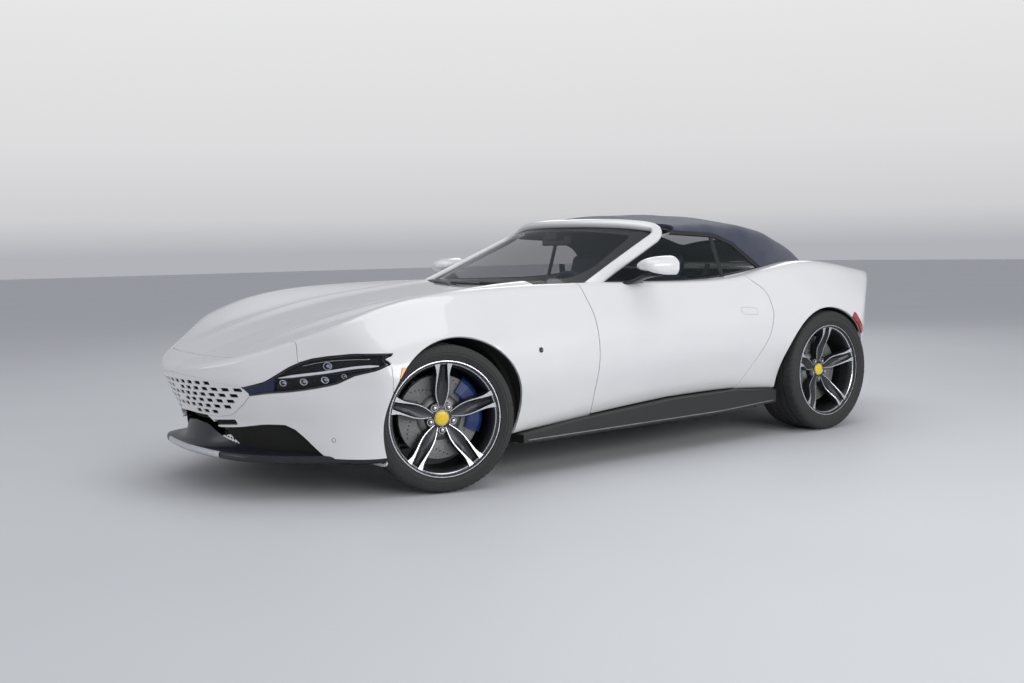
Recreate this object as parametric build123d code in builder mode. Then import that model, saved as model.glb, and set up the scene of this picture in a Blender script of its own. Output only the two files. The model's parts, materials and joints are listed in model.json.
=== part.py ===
"""Roadster convertible with its fabric roof up: a front-engined 2+2 with five double-spoke wheels.

Millimetres.  +X is the car's left side, -Y is forwards, +Z is up, and the origin lies on the ground
under the middle of the car.  Stations are distances behind the nose, and station(s) gives their y.
"""

from build123d import *
from math import atan2, cos, radians, sin, sqrt
import os

# ---------------------------------------------------------------- driving dimensions
overall_length = 4656.0
wheelbase = 2670.0
front_overhang = 958.0
front_track = 1652.0
rear_track = 1679.0

front_tyre_radius = 340.0
front_tyre_width = 245.0
rear_tyre_radius = 354.0
rear_tyre_width = 285.0
rim_radius = 254.0
rim_lip_radius = 268.0
spoke_pairs = 5
disc_radius = 195.0
disc_thickness = 34.0
caliper_half_span = 36.0

steer_at_rest = -15.0
kingpin_inset = 60.0
front_arch_radius = 386.0
rear_arch_radius = 384.0
arch_inner_x = 545.0
arch_liner_wall = 5.0

side_wall = 100.0
top_wall = 24.0
front_wall = 60.0
moving_gap = 6.0
fixed_gap = 0.6
seat_gap = 0.5
glass_thickness = 5.0
roof_cloth = 22.0

half_length = overall_length / 2
front_axle_y = front_overhang - half_length
rear_axle_y = front_axle_y + wheelbase


def station(s):
    """y of a distance behind the nose."""
    return s - half_length


# ---------------------------------------------------------------- body sections
# The body between nose and tail.  Each row is one section; every x is measured from the middle.
# Corners run from the lower edge over the side and the crest to the middle of the bonnet or deck.
BODY_COLUMNS = "s bottom_x bottom_z side_x side_z crest_x crest_z inner_x inner_z middle_z crest_radius".split()
BODY_TABLE = [
    (-90, 640, 142, 760, 470, 640, 556, 400, 560, 556, 24),
    (150, 705, 142, 818, 480, 690, 632, 430, 642, 634, 36),
    (400, 800, 142, 929, 520, 740, 752, 480, 728, 712, 56),
    (700, 860, 146, 986, 560, 775, 872, 540, 806, 782, 78),
    (958, 880, 180, 1004, 590, 788, 918, 560, 856, 826, 92),
    (1300, 870, 212, 996, 600, 792, 934, 570, 890, 872, 96),
    (1750, 852, 243, 972, 610, 822, 930, 560, 922, 918, 70),
    (2400, 838, 283, 966, 612, 852, 918, 560, 924, 928, 42),
    (2950, 848, 288, 980, 622, 862, 925, 560, 945, 950, 46),
    (3300, 872, 266, 1008, 640, 850, 975, 560, 984, 986, 90),
    (3628, 892, 256, 1025, 660, 826, 1008, 560, 1000, 998, 118),
    (4000, 872, 256, 1008, 664, 796, 972, 540, 968, 964, 118),
    (4350, 826, 270, 956, 655, 745, 918, 500, 928, 930, 90),
    (4740, 742, 300, 874, 640, 660, 884, 430, 908, 912, 60),
]
SIDE_RADIUS = 640.0
BOTTOM_RADIUS = 14.0
INNER_RADIUS = 260.0
MIDDLE_RADIUS = 420.0

# The plan outlines that cut the nose and the tail: height, nose set-back, tail set-back.
TRIM_TABLE = [
    (40, 120, 240),
    (340, 92, 80),
    (556, 0, 30),
    (590, 0, 26),
    (880, 34, 0),
    (1150, 60, 0),
]
TRIM_HALF_WIDTH = 1180.0
NOSE_PLAN_RADIUS = 704.0
NOSE_ARC_HALF_WIDTH = 478.0
TAIL_PLAN_RADIUS = 970.0
TAIL_ARC_HALF_WIDTH = 800.0


def corner_radius(before, corner, after, wanted):
    """The wanted radius, or the largest one that the two edges of this corner have room for."""
    a = (before[0] - corner[0], before[1] - corner[1])
    b = (after[0] - corner[0], after[1] - corner[1])
    la, lb = sqrt(a[0] ** 2 + a[1] ** 2), sqrt(b[0] ** 2 + b[1] ** 2)
    between = atan2(abs(a[0] * b[1] - a[1] * b[0]), a[0] * b[0] + a[1] * b[1])
    return min(wanted, 0.47 * min(la, lb) * sin(between / 2) / cos(between / 2))


def body_loft(side_inset=0.0, top_inset=0.0, drop=0.0):
    """The body's volume from below the nose to past the tail, inset on its sides and top."""
    with BuildPart() as body:
        for row in BODY_TABLE:
            r = dict(zip(BODY_COLUMNS, row))
            half = [
                (r["bottom_x"] - side_inset, r["bottom_z"] - drop),
                (r["side_x"] - side_inset, r["side_z"]),
                (r["crest_x"] - side_inset, r["crest_z"] - top_inset),
                (r["inner_x"] - side_inset, r["inner_z"] - top_inset),
            ]
            corners = half + [(0, r["middle_z"] - top_inset)] + [(-x, z) for x, z in reversed(half)]
            crest = max(r["crest_radius"] - top_inset / 2, 12)
            wanted = [BOTTOM_RADIUS, SIDE_RADIUS, crest, INNER_RADIUS]
            wanted = wanted + [MIDDLE_RADIUS] + wanted[::-1]
            count = len(corners)
            radii = [corner_radius(corners[i - 1], corners[i], corners[(i + 1) % count], wanted[i]) for i in range(count)]
            with BuildSketch(Plane.XZ.offset(-station(r["s"]))):
                with BuildLine():
                    FilletPolyline(*corners, radius=radii, close=True)
                make_face()
        loft()
    return body.part


def plan_trim(inset=0.0):
    """The block between the nose's leaning face and the tail's, both curved in plan."""
    w = TRIM_HALF_WIDTH
    arc_x = NOSE_ARC_HALF_WIDTH
    arc_height = sqrt(NOSE_PLAN_RADIUS**2 - arc_x**2)
    arc_sag = NOSE_PLAN_RADIUS - arc_height
    nose_sag = arc_sag + (w - arc_x) * arc_x / arc_height
    tail_x = TAIL_ARC_HALF_WIDTH
    tail_height = sqrt(TAIL_PLAN_RADIUS**2 - tail_x**2)
    tail_arc_sag = TAIL_PLAN_RADIUS - tail_height
    tail_sag = tail_arc_sag + (w - tail_x) * tail_x / tail_height
    with BuildPart() as block:
        for z, nose, tail in TRIM_TABLE:
            front = station(nose + inset)
            back = station(overall_length - tail - inset)
            with BuildSketch(Plane.XY.offset(z)):
                with BuildLine():
                    Line((-w, front + nose_sag), (-arc_x, front + arc_sag))
                    ThreePointArc((-arc_x, front + arc_sag), (0, front), (arc_x, front + arc_sag))
                    Line((arc_x, front + arc_sag), (w, front + nose_sag))
                    Line((w, front + nose_sag), (w, back - tail_sag))
                    Line((w, back - tail_sag), (tail_x, back - tail_arc_sag))
                    ThreePointArc((tail_x, back - tail_arc_sag), (0, back), (-tail_x, back - tail_arc_sag))
                    Line((-tail_x, back - tail_arc_sag), (-w, back - tail_sag))
                    Line((-w, back - tail_sag), (-w, front + nose_sag))
                make_face()
        loft(ruled=True)
    return block.part



# ---------------------------------------------------------------- greenhouse sections
# The fabric roof and the side glass share these sections.
ROOF_COLUMNS = "s low_x low_z shoulder_x shoulder_z middle_z".split()
ROOF_TABLE = [
    (1900, 836, 800, 690, 1160, 1230),
    (2300, 836, 800, 686, 1198, 1276),
    (2600, 838, 800, 684, 1216, 1314),
    (2900, 842, 800, 678, 1224, 1326),
    (3150, 846, 800, 664, 1218, 1322),
    (3400, 842, 800, 636, 1190, 1296),
    (3600, 815, 800, 600, 1136, 1240),
    (3800, 765, 800, 560, 1058, 1144),
    (3950, 700, 800, 515, 975, 1010),
]
SHOULDER_RADIUS = 130.0
CROWN_RADIUS = 2200.0

# The windscreen's cone: height, half-width, set-back of its corners and of its middle.
SCREEN_TABLE = [
    (840, 765, 1922, 1530),
    (1330, 604, 2790, 2500),
]


def roof_loft(inset=0.0):
    """The volume under the fabric roof and between the side windows."""
    with BuildPart() as roof:
        for row in ROOF_TABLE:
            r = dict(zip(ROOF_COLUMNS, row))
            half = [(r["low_x"] - inset, r["low_z"]), (r["shoulder_x"] - inset, r["shoulder_z"] - inset)]
            corners = half + [(0, r["middle_z"] - inset)] + [(-x, z) for x, z in reversed(half)]
            wanted = [0.0, SHOULDER_RADIUS - inset, CROWN_RADIUS, SHOULDER_RADIUS - inset, 0.0]
            count = len(corners)
            radii = [corner_radius(corners[i - 1], corners[i], corners[(i + 1) % count], wanted[i]) for i in range(count)]
            with BuildSketch(Plane.XZ.offset(-station(r["s"]))):
                with BuildLine():
                    FilletPolyline(*corners, radius=radii, close=True)
                make_face()
        loft()
    return roof.part


def screen_block(setback=0.0):
    """Everything behind the windscreen's outer surface, moved back by setback."""
    with BuildPart() as block:
        for z, half_width, corner, middle in SCREEN_TABLE:
            corner_y = station(corner + setback)
            middle_y = station(middle + setback)
            wide = half_width + 60
            side_y = corner_y + 60 * (corner - middle) * 2 / half_width
            with BuildSketch(Plane.XY.offset(z)):
                with BuildLine():
                    Polyline((half_width, corner_y), (wide, side_y), (wide, half_length), (-wide, half_length),
                             (-wide, side_y), (-half_width, corner_y))
                    ThreePointArc((-half_width, corner_y), (0, middle_y), (half_width, corner_y))
                make_face()
        loft(ruled=True)
    return block.part


# ---------------------------------------------------------------- prisms from plain outlines
def side_prism(points, x_from, x_to, radius=0.0, grow=0.0):
    """A prism along X from an outline of (s, z) points, its outline moved outwards by grow."""
    with BuildPart() as prism:
        with BuildSketch(Plane.YZ.offset(x_from)):
            with BuildLine():
                FilletPolyline(*[(station(s), z) for s, z in points], radius=radius, close=True)
            make_face()
            if grow:
                offset(amount=grow, kind=Kind.INTERSECTION)
        extrude(amount=x_to - x_from)
    return prism.part


def plan_prism(points, z_from, z_to, radius=0.0, grow=0.0):
    """A prism along Z from an outline of (x, s) points, its outline moved outwards by grow."""
    with BuildPart() as prism:
        with BuildSketch(Plane.XY.offset(z_from)):
            with BuildLine():
                FilletPolyline(*[(x, station(s)) for x, s in points], radius=radius, close=True)
            make_face()
            if grow:
                offset(amount=grow, kind=Kind.INTERSECTION)
        extrude(amount=z_to - z_from)
    return prism.part


def front_prism(points, s_from, s_to, radius=0.0, grow=0.0):
    """A prism along Y from an outline of (x, z) points, its outline moved outwards by grow."""
    with BuildPart() as prism:
        with BuildSketch(Plane.XZ.offset(-station(s_from))):
            with BuildLine():
                FilletPolyline(*points, radius=radius, close=True)
            make_face()
            if grow:
                offset(amount=grow, kind=Kind.INTERSECTION)
        extrude(amount=-(s_to - s_from))
    return prism.part


def box(x_from, x_to, s_from, s_to, z_from, z_to):
    """A plain block between two limits on each axis."""
    with BuildPart() as block:
        with BuildSketch(Plane.XY.offset(z_from)):
            with BuildLine():
                Polyline((x_from, station(s_from)), (x_to, station(s_from)), (x_to, station(s_to)),
                         (x_from, station(s_to)), close=True)
            make_face()
        extrude(amount=z_to - z_from)
    return block.part


def mirrored(points):
    """An outline's left half followed by its right half."""
    return points + [(-x, v) for x, v in reversed(points) if x > 0]


def write(node, name):
    """Label one finished piece and write its file."""
    node.part.label = name
    export_step(node.part, f"parts/{name}.step")


def write_both(left, name):
    """Write a left-hand piece and its mirror image."""
    write(left, f"{name}_left")
    with BuildPart() as right:
        add(left.part)
        mirror(about=Plane.YZ, mode=Mode.REPLACE)
    write(right, f"{name}_right")


os.makedirs("parts", exist_ok=True)

# ---------------------------------------------------------------- body shell
with BuildPart() as body_volume:
    add(body_loft())
    add(plan_trim(), mode=Mode.INTERSECT)

with BuildPart() as body_shell:
    add(body_volume.part)
    with BuildPart(mode=Mode.PRIVATE) as hollow:
        add(body_loft(side_wall, top_wall, drop=80))
        add(plan_trim(front_wall), mode=Mode.INTERSECT)
    add(hollow.part, mode=Mode.SUBTRACT)


with BuildPart() as cavity:
    add(body_loft(side_wall + seat_gap, top_wall + seat_gap, drop=80))
    add(plan_trim(front_wall + seat_gap), mode=Mode.INTERSECT)

# ---------------------------------------------------------------- outlines of the panels
HOOD_HALF = [(742, 1300), (722, 1780)]
HOOD_FRONT = [(200, 200), (400, 222), (560, 330), (650, 470), (712, 760)]
hood_rear_middle = 1640.0
hood_front_slope = 0.22
door_front = 1846.0
DOOR_OUTLINE = [(1812, 1000), (1812, 903), (1843, 780), (1850, 100), (2900, 100), (2917, 268), (2992, 382),
                (3110, 582), (3155, 719), (3145, 841), (3040, 912), (2990, 1000)]
DOOR_RADII = [0, 60, 200, 0, 0, 60, 200, 200, 120, 90, 60, 0]
cowl_rear_middle = 1790.0
cabin_half_width = 742.0
cabin_rear = 3230.0
TONNEAU_HALF = [(742, 3236), (700, 3560), (640, 3954)]
BOOT_HALF = [(640, 3960), (600, 4300), (562, 4700)]
boot_lid_lowest = 735.0
LAMP_OUTLINE = [(60, 465), (250, 476), (420, 507), (515, 562), (665, 628), (640, 660), (511, 659), (400, 645),
                (295, 594), (225, 528), (60, 500)]
MARKER_TAIL_OUTLINE = [(4300, 742), (4700, 752), (4700, 790), (4330, 776)]
GRILLE_HALF = [(173, 352), (268, 369), (359, 423), (410, 467), (398, 508), (176, 550)]
INTAKE_HALF = [(240, 176), (600, 180), (636, 200), (598, 240), (541, 302), (500, 326), (417, 330), (200, 308)]
BUMPER_OUTLINE = [(-80, 0), (640, 0), (640, 596), (330, 606), (330, 1000), (-80, 1000)]
splitter_top = 190.0
diffuser_reach = 30.0
splitter_thickness = 20.0
TAIL_BUMPER_OUTLINE = [(3900, 0), (3900, 560), (4330, 640), (4420, 716), (4760, 730), (4760, 0)]
screen_opening_top = 1232.0
pillar_width = 96.0
SIDE_WINDOW_OUTLINE = [(1900, 800), (1900, 1192), (2600, 1192), (2935, 1171), (3078, 1119), (3262, 968), (3262, 800)]
quarter_glass_front = 2922.0
fender_lip_middle = 985.0
rear_lip_middle = 3622.0


def arch_cut(middle_s, axle_z, lip_radius, pocket_radius, axle_s):
    """The wheel arch: its lip in the skin, and the wider pocket behind the skin."""
    with BuildPart() as cut:
        for side in (-1, 1):
            with BuildSketch(Plane.YZ.offset(side * 860)):
                with Locations((station(middle_s), axle_z - 4)):
                    Circle(lip_radius)
                with Locations((station(middle_s), axle_z - 4 - lip_radius)):
                    Rectangle(2 * lip_radius * 0.97, 2 * lip_radius)
            extrude(amount=side * 200)
            with BuildSketch(Plane.YZ.offset(side * (arch_inner_x - 25))):
                with Locations((station(axle_s), axle_z)):
                    Circle(pocket_radius)
                with Locations((station(axle_s), axle_z - pocket_radius)):
                    Rectangle(2 * pocket_radius, 2 * pocket_radius)
            extrude(amount=side * (895 - arch_inner_x + 25))
    return cut.part


def hood_prism(gap):
    """The bonnet's block, larger all round by gap, with a front end that leans back downwards."""
    front = [(x + gap, s - gap) for x, s in HOOD_FRONT]
    side = [(x + gap, s) for x, s in HOOD_HALF]
    side[-1] = (side[-1][0], side[-1][1] + gap)
    plan = front + side + [(0, hood_rear_middle + gap)] + [(-x, s) for x, s in reversed(front + side)]
    lean_foot = front[0][1] + 5
    with BuildPart() as block:
        add(plan_prism(plan, 500, 1100))
        lean = [(lean_foot - 300 * hood_front_slope, 950), (lean_foot + 150 * hood_front_slope, 500), (2000, 500), (2000, 950)]
        add(side_prism(lean, -900, 900), mode=Mode.INTERSECT)
    return block.part


front_arches = arch_cut(fender_lip_middle, front_tyre_radius, 376, front_arch_radius, front_overhang)
rear_arches = arch_cut(rear_lip_middle, rear_tyre_radius, 380, rear_arch_radius, front_overhang + wheelbase)
hood_block = hood_prism(0)
hood_clearance = hood_prism(moving_gap)

# ---------------------------------------------------------------- bonnet, doors and boot lid
with BuildPart() as hood:
    add(body_shell.part)
    add(hood_block, mode=Mode.INTERSECT)
write(hood, "hood")

with BuildPart() as door:
    add(body_shell.part)
    add(side_prism(DOOR_OUTLINE, 740, 1100, DOOR_RADII), mode=Mode.INTERSECT)
    add(box(0, 800, 1700, 2215, 845, 1000), mode=Mode.SUBTRACT)
    add(side_prism([(1700, 100), (1700, 252), (1850, 264), (2400, 298), (3200, 304), (3200, 100)], 700, 1100), mode=Mode.SUBTRACT)
write_both(door, "door")

with BuildPart() as boot_lid:
    add(body_shell.part)
    add(plan_prism(mirrored(BOOT_HALF), boot_lid_lowest, 1100), mode=Mode.INTERSECT)
write(boot_lid, "boot_lid")

# ---------------------------------------------------------------- fixed body panels
lamp_holes = side_prism(LAMP_OUTLINE, 412, 1000, grow=fixed_gap)
lamp_holes_right = side_prism(LAMP_OUTLINE, -1000, -412, grow=fixed_gap)
tail_holes = side_prism(MARKER_TAIL_OUTLINE, 560, 1000, grow=fixed_gap)
grille_hole = front_prism(mirrored(GRILLE_HALF), -60, 420, grow=fixed_gap)
intake_hole = front_prism(mirrored(INTAKE_HALF), -60, 700, grow=fixed_gap)

with BuildPart() as front_bumper:
    add(body_shell.part)
    add(side_prism(BUMPER_OUTLINE, -1100, 1100), mode=Mode.INTERSECT)
    add(box(-1100, 1100, -100, 1000, 0, splitter_top + seat_gap), mode=Mode.SUBTRACT)
    for cutter in (hood_clearance, lamp_holes, lamp_holes_right, grille_hole, intake_hole, front_arches):
        add(cutter, mode=Mode.SUBTRACT)
write(front_bumper, "front_bumper")

with BuildPart() as front_fender:
    add(body_shell.part)
    add(box(300, 1100, 200, door_front + 10, 0, 1200), mode=Mode.INTERSECT)
    add(side_prism(BUMPER_OUTLINE, 0, 1100, grow=fixed_gap), mode=Mode.SUBTRACT)
    add(side_prism(DOOR_OUTLINE, 0, 1100, DOOR_RADII, grow=moving_gap), mode=Mode.SUBTRACT)
    add(plan_prism([(0, hood_rear_middle), (716, 1780), (716, 2200), (0, 2200)], 700, 1100), mode=Mode.SUBTRACT)
    for cutter in (hood_clearance, lamp_holes, front_arches):
        add(cutter, mode=Mode.SUBTRACT)
write_both(front_fender, "front_fender")

cowl_plan = [(-714, 1788), (0, hood_rear_middle + moving_gap), (714, 1788), (714, 2060), (0, cowl_rear_middle), (-714, 2060)]
with BuildPart() as cowl:
    add(body_shell.part)
    add(plan_prism(cowl_plan, 850, 1100), mode=Mode.INTERSECT)
    add(hood_clearance, mode=Mode.SUBTRACT)
write(cowl, "cowl")

with BuildPart() as tonneau_cover:
    add(body_shell.part)
    add(plan_prism(mirrored(TONNEAU_HALF), 880, 1100), mode=Mode.INTERSECT)
write(tonneau_cover, "tonneau_cover")

with BuildPart() as quarter_inner_cut:
    add(plan_prism([(cabin_half_width, 2700), (cabin_half_width, cabin_rear + 10), (0, cabin_rear + 10), (0, 2700)], 700, 1100))
    add(plan_prism(mirrored(TONNEAU_HALF), 700, 1100, grow=fixed_gap))
    add(plan_prism(mirrored(BOOT_HALF), boot_lid_lowest - moving_gap, 1100, grow=moving_gap))
with BuildPart() as rear_quarter:
    add(body_shell.part)
    add(box(200, 1100, 2850, 4700, 0, 1200), mode=Mode.INTERSECT)
    add(side_prism(DOOR_OUTLINE, 0, 1100, DOOR_RADII, grow=moving_gap), mode=Mode.SUBTRACT)
    add(box(600, 880, 2700, 3168, 200, 860), mode=Mode.SUBTRACT)
    add(side_prism(TAIL_BUMPER_OUTLINE, 0, 1100, grow=fixed_gap), mode=Mode.SUBTRACT)
    for cutter in (quarter_inner_cut.part, tail_holes, rear_arches):
        add(cutter, mode=Mode.SUBTRACT)
write_both(rear_quarter, "rear_quarter")

with BuildPart() as rear_bumper:
    add(body_shell.part)
    add(side_prism(TAIL_BUMPER_OUTLINE, -1100, 1100), mode=Mode.INTERSECT)
    add(rear_arches, mode=Mode.SUBTRACT)
    with BuildSketch(Plane.XZ.offset(-station(4250))):
        with Locations((-520, 345), (-430, 345), (430, 345), (520, 345)):
            Circle(42.5)
    extrude(amount=-400, mode=Mode.SUBTRACT)
write(rear_bumper, "rear_bumper")


# ---------------------------------------------------------------- roof, screen and side glass
with BuildPart() as roof_volume:
    add(roof_loft())
with BuildPart() as roof_skin:
    add(roof_volume.part)
    add(roof_loft(roof_cloth), mode=Mode.SUBTRACT)
with BuildPart() as glass_skin:
    add(roof_loft(9))
    add(roof_loft(9 + glass_thickness), mode=Mode.SUBTRACT)
with BuildPart() as body_clearance:
    add(body_loft(-seat_gap, -seat_gap))

screen_front = screen_block()
screen_back = screen_block(pillar_width)
SCREEN_OPENING = [(684, 931), (590, 1182), (0, screen_opening_top), (-590, 1182), (-684, 931)]
screen_opening = front_prism([(684, 850)] + SCREEN_OPENING + [(-684, 850)], 1200, 3000)
screen_pane = front_prism(SCREEN_OPENING, 1200, 3000, grow=-seat_gap)
rear_window_hole = plan_prism([(400, 3520), (360, 3760), (-360, 3760), (-400, 3520)], 950, 1320, 50)
rear_window_pane = plan_prism([(400, 3520), (360, 3760), (-360, 3760), (-400, 3520)], 950, 1320, 50, grow=-seat_gap)
side_window_hole = side_prism(SIDE_WINDOW_OUTLINE, -1000, 1000)

with BuildPart() as windscreen_frame:
    add(roof_loft(12))
    add(screen_front, mode=Mode.INTERSECT)
    add(screen_back, mode=Mode.SUBTRACT)
    add(screen_opening, mode=Mode.SUBTRACT)
    add(hood_clearance, mode=Mode.SUBTRACT)
    add(box(-1000, 1000, 1400, 3000, 700, 858), mode=Mode.SUBTRACT)
    with BuildPart(mode=Mode.PRIVATE) as deck:
        add(body_clearance.part)
        add(box(-716, 716, 1500, 3000, 0, 1200), mode=Mode.INTERSECT)
    add(deck.part, mode=Mode.SUBTRACT)
    for side in (-1, 1):
        add(box(min(side * 786, side * 1000), max(side * 786, side * 1000), 1500, 3000, 700, 936), mode=Mode.SUBTRACT)
write(windscreen_frame, "windscreen_frame")

with BuildPart() as fixed_glass:
    add(roof_loft(12))
    add(screen_block(14), mode=Mode.INTERSECT)
    add(screen_block(14 + 2.2 * glass_thickness), mode=Mode.SUBTRACT)
    add(screen_pane, mode=Mode.INTERSECT)
    with BuildPart(mode=Mode.PRIVATE) as rear_pane:
        add(glass_skin.part)
        add(rear_window_pane, mode=Mode.INTERSECT)
    add(rear_pane.part)
    with BuildPart(mode=Mode.PRIVATE) as quarter_panes:
        add(glass_skin.part)
        add(side_prism([(quarter_glass_front, 860), (quarter_glass_front, 1169), (2934, 1168), (3076, 1116),
                        (3258, 968), (3258, 860)], -1000, 1000), mode=Mode.INTERSECT)
        add(body_clearance.part, mode=Mode.SUBTRACT)
    add(quarter_panes.part)
write(fixed_glass, "fixed_glass")

with BuildPart() as door_glass:
    add(glass_skin.part)
    add(side_prism([(1900, 860), (1900, 1191), (2600, 1191), (quarter_glass_front - 8, 1172),
                    (quarter_glass_front - 8, 860)], 300, 1000), mode=Mode.INTERSECT)
    add(screen_block(pillar_width + 8), mode=Mode.INTERSECT)
    add(body_clearance.part, mode=Mode.SUBTRACT)
write_both(door_glass, "door_glass")

with BuildPart() as soft_top:
    add(roof_skin.part)
    add(screen_block(pillar_width + fixed_gap), mode=Mode.INTERSECT)
    for cutter in (side_window_hole, rear_window_hole, body_clearance.part):
        add(cutter, mode=Mode.SUBTRACT)
write(soft_top, "soft_top")

# ---------------------------------------------------------------- lower trim
with BuildPart() as side_skirts:
    for side in (-1, 1):
        with BuildSketch(Plane.YZ.offset(side * 745)):
            with BuildLine():
                Polyline((station(1372), 170), (station(2763), 176), (station(3222), 196), (station(3222), 262),
                         (station(2900), 280), (station(2400), 278), (station(1750), 238), (station(1372), 208), close=True)
            make_face()
        extrude(amount=side * 168)
write(side_skirts, "side_skirts")

with BuildPart() as front_splitter:
    add(plan_prism([(-862, 640), (-735, 470), (-620, 343), (-530, 218), (-455, 142), (-290, 90), (0, 64), (290, 90),
                    (455, 142), (530, 218), (620, 343), (735, 470), (862, 640), (850, 730), (520, 560), (-520, 560),
                    (-850, 730)], splitter_top - splitter_thickness, splitter_top))
    add(front_arches, mode=Mode.SUBTRACT)
write(front_splitter, "front_splitter")

with BuildPart() as rear_diffuser:
    add(side_prism([(4060, 150), (4330, 190), (4530, 246), (4530, 268), (4330, 212), (4060, 172)], -560, 560))
    with BuildPart(mode=Mode.PRIVATE) as diffuser_plan:
        add(plan_trim(-diffuser_reach))
    add(diffuser_plan.part, mode=Mode.INTERSECT)
    for x in (-420, -210, 0, 210, 420):
        add(side_prism([(4180, 130), (4380, 160), (4380, 215), (4330, 205), (4180, 172)], x - 6, x + 6))
        add(box(x - 6, x + 6, 4200, 4240, 170, 399.5))
write(rear_diffuser, "rear_diffuser")

with BuildPart() as lamp_bodies:
    add(body_shell.part)
    add(side_prism(LAMP_OUTLINE, 412, 1000), mode=Mode.INTERSECT)
    add(hood_clearance, mode=Mode.SUBTRACT)
with BuildPart() as headlamps:
    add(lamp_bodies.part)
    mirror(lamp_bodies.part, about=Plane.YZ)
write(headlamps, "headlamps")

with BuildPart() as tail_bodies:
    add(body_shell.part)
    add(side_prism(MARKER_TAIL_OUTLINE, 560 + moving_gap, 1000), mode=Mode.INTERSECT)
    add(quarter_inner_cut.part, mode=Mode.SUBTRACT)
with BuildPart() as tail_lamps:
    add(tail_bodies.part)
    mirror(tail_bodies.part, about=Plane.YZ)
write(tail_lamps, "tail_lamps")

with BuildPart() as grille:
    add(body_volume.part)
    add(front_prism(mirrored(GRILLE_HALF), -60, 420), mode=Mode.INTERSECT)
    with BuildPart(mode=Mode.PRIVATE) as behind:
        add(plan_trim(40))
    add(behind.part, mode=Mode.SUBTRACT)
    with BuildSketch(Plane.XZ.offset(-station(-60))):
        for columns, height in ((12, 394), (15, 423), (16, 452), (17, 481), (14, 510)):
            with Locations((0, height)):
                with GridLocations(44, 1, columns, 1):
                    SlotOverall(32, 17)
    extrude(amount=-480, mode=Mode.SUBTRACT)
write(grille, "grille")

with BuildPart() as lower_grille:
    add(body_volume.part)
    add(front_prism(mirrored(INTAKE_HALF), -60, 700), mode=Mode.INTERSECT)
    add(plan_trim(38), mode=Mode.INTERSECT)
    with BuildPart(mode=Mode.PRIVATE) as behind_mesh:
        add(plan_trim(52))
    add(behind_mesh.part, mode=Mode.SUBTRACT)
    add(box(-1100, 1100, -100, 1000, 0, splitter_top + seat_gap), mode=Mode.SUBTRACT)
write(lower_grille, "lower_grille")

# ---------------------------------------------------------------- floor and structure
with BuildPart() as floor_pan:
    add(box(-742, 742, 600, 4050, 150, 172))
    add(box(-742, 742, 3196, 3222, 172, 900))
    add(box(-500, 500, 3222, 4380, 400, 420))
    with BuildPart(mode=Mode.PRIVATE) as uprights:
        add(box(-500, 500, 560, 600, 150, 1000))
        add(box(-700, 700, 1500, 1530, 150, 1000))
        add(box(-480, 480, 4360, 4380, 400, 1000))
        add(cavity.part, mode=Mode.INTERSECT)
    add(uprights.part)
    for side in (-1, 1):
        for x_near, x_far, s_from, s_to, z_from, z_to in (
            (690, 742, 1372, 3222, 172, 300),
            (480, 500, 3222, 4380, 420, 800),
            (480, 500, 3222, 4050, 172, 400),
            (260, 300, 290, 560, 330, 375),
        ):
            add(box(min(side * x_near, side * x_far), max(side * x_near, side * x_far), s_from, s_to, z_from, z_to))
    with BuildPart(mode=Mode.PRIVATE) as nose_beam:
        add(box(-300, 300, 150, 330, 330, 375))
        add(cavity.part, mode=Mode.INTERSECT)
    add(nose_beam.part)
    for cutter in (front_arches, rear_arches):
        add(cutter, mode=Mode.SUBTRACT)
write(floor_pan, "floor_pan")

with BuildPart() as wheel_liners:
    for side in (-1, 1):
        for axle_s, axle_z, radius in ((front_overhang, front_tyre_radius, front_arch_radius),
                                       (front_overhang + wheelbase, rear_tyre_radius, rear_arch_radius)):
            with BuildSketch(Plane.YZ.offset(side * 522)):
                with Locations((station(axle_s), axle_z)):
                    Circle(radius - fixed_gap)
                    Circle(radius - arch_liner_wall, mode=Mode.SUBTRACT)
                    with Locations((0, -radius - 60)):
                        Rectangle(2 * radius, 2 * radius, mode=Mode.SUBTRACT)
            extrude(amount=side * 368)
write(wheel_liners, "wheel_liners")

with BuildPart() as powertrain:
    add(box(-300, 300, 720, 1440, 198.5, 720))
    add(box(-110, 110, 1540, 3190, 172.5, 330))
write(powertrain, "powertrain")

with BuildPart() as exhaust_tips:
    for x in (-520, -430, 430, 520):
        with BuildSketch(Plane.XZ.offset(-station(4365))):
            with Locations((x, 345)):
                Circle(42)
                Circle(38, mode=Mode.SUBTRACT)
        extrude(amount=-76)
write(exhaust_tips, "exhaust_tips")


# ---------------------------------------------------------------- wheels
def tyre(radius, width, lip_x):
    """A tyre about the X axis, with rounded shoulders, its bore on the rim and its beads inside the lips."""
    half = width / 2
    bead = lip_x - 7 - seat_gap
    bore = rim_radius + seat_gap
    above_lip = rim_lip_radius + seat_gap
    side = [(bead, bore), (bead, above_lip), (half, above_lip + 22), (half - 6, radius - 26), (half - 30, radius)]
    outline = [(-x, r) for x, r in side] + side[::-1]
    with BuildPart() as ring:
        with BuildSketch(Plane.XY):
            with BuildLine():
                FilletPolyline(*outline, radius=[0, 0, 14, 24, 12, 12, 24, 14, 0, 0], close=True)
            make_face()
        revolve(axis=Axis.X)
    return ring.part


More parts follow.
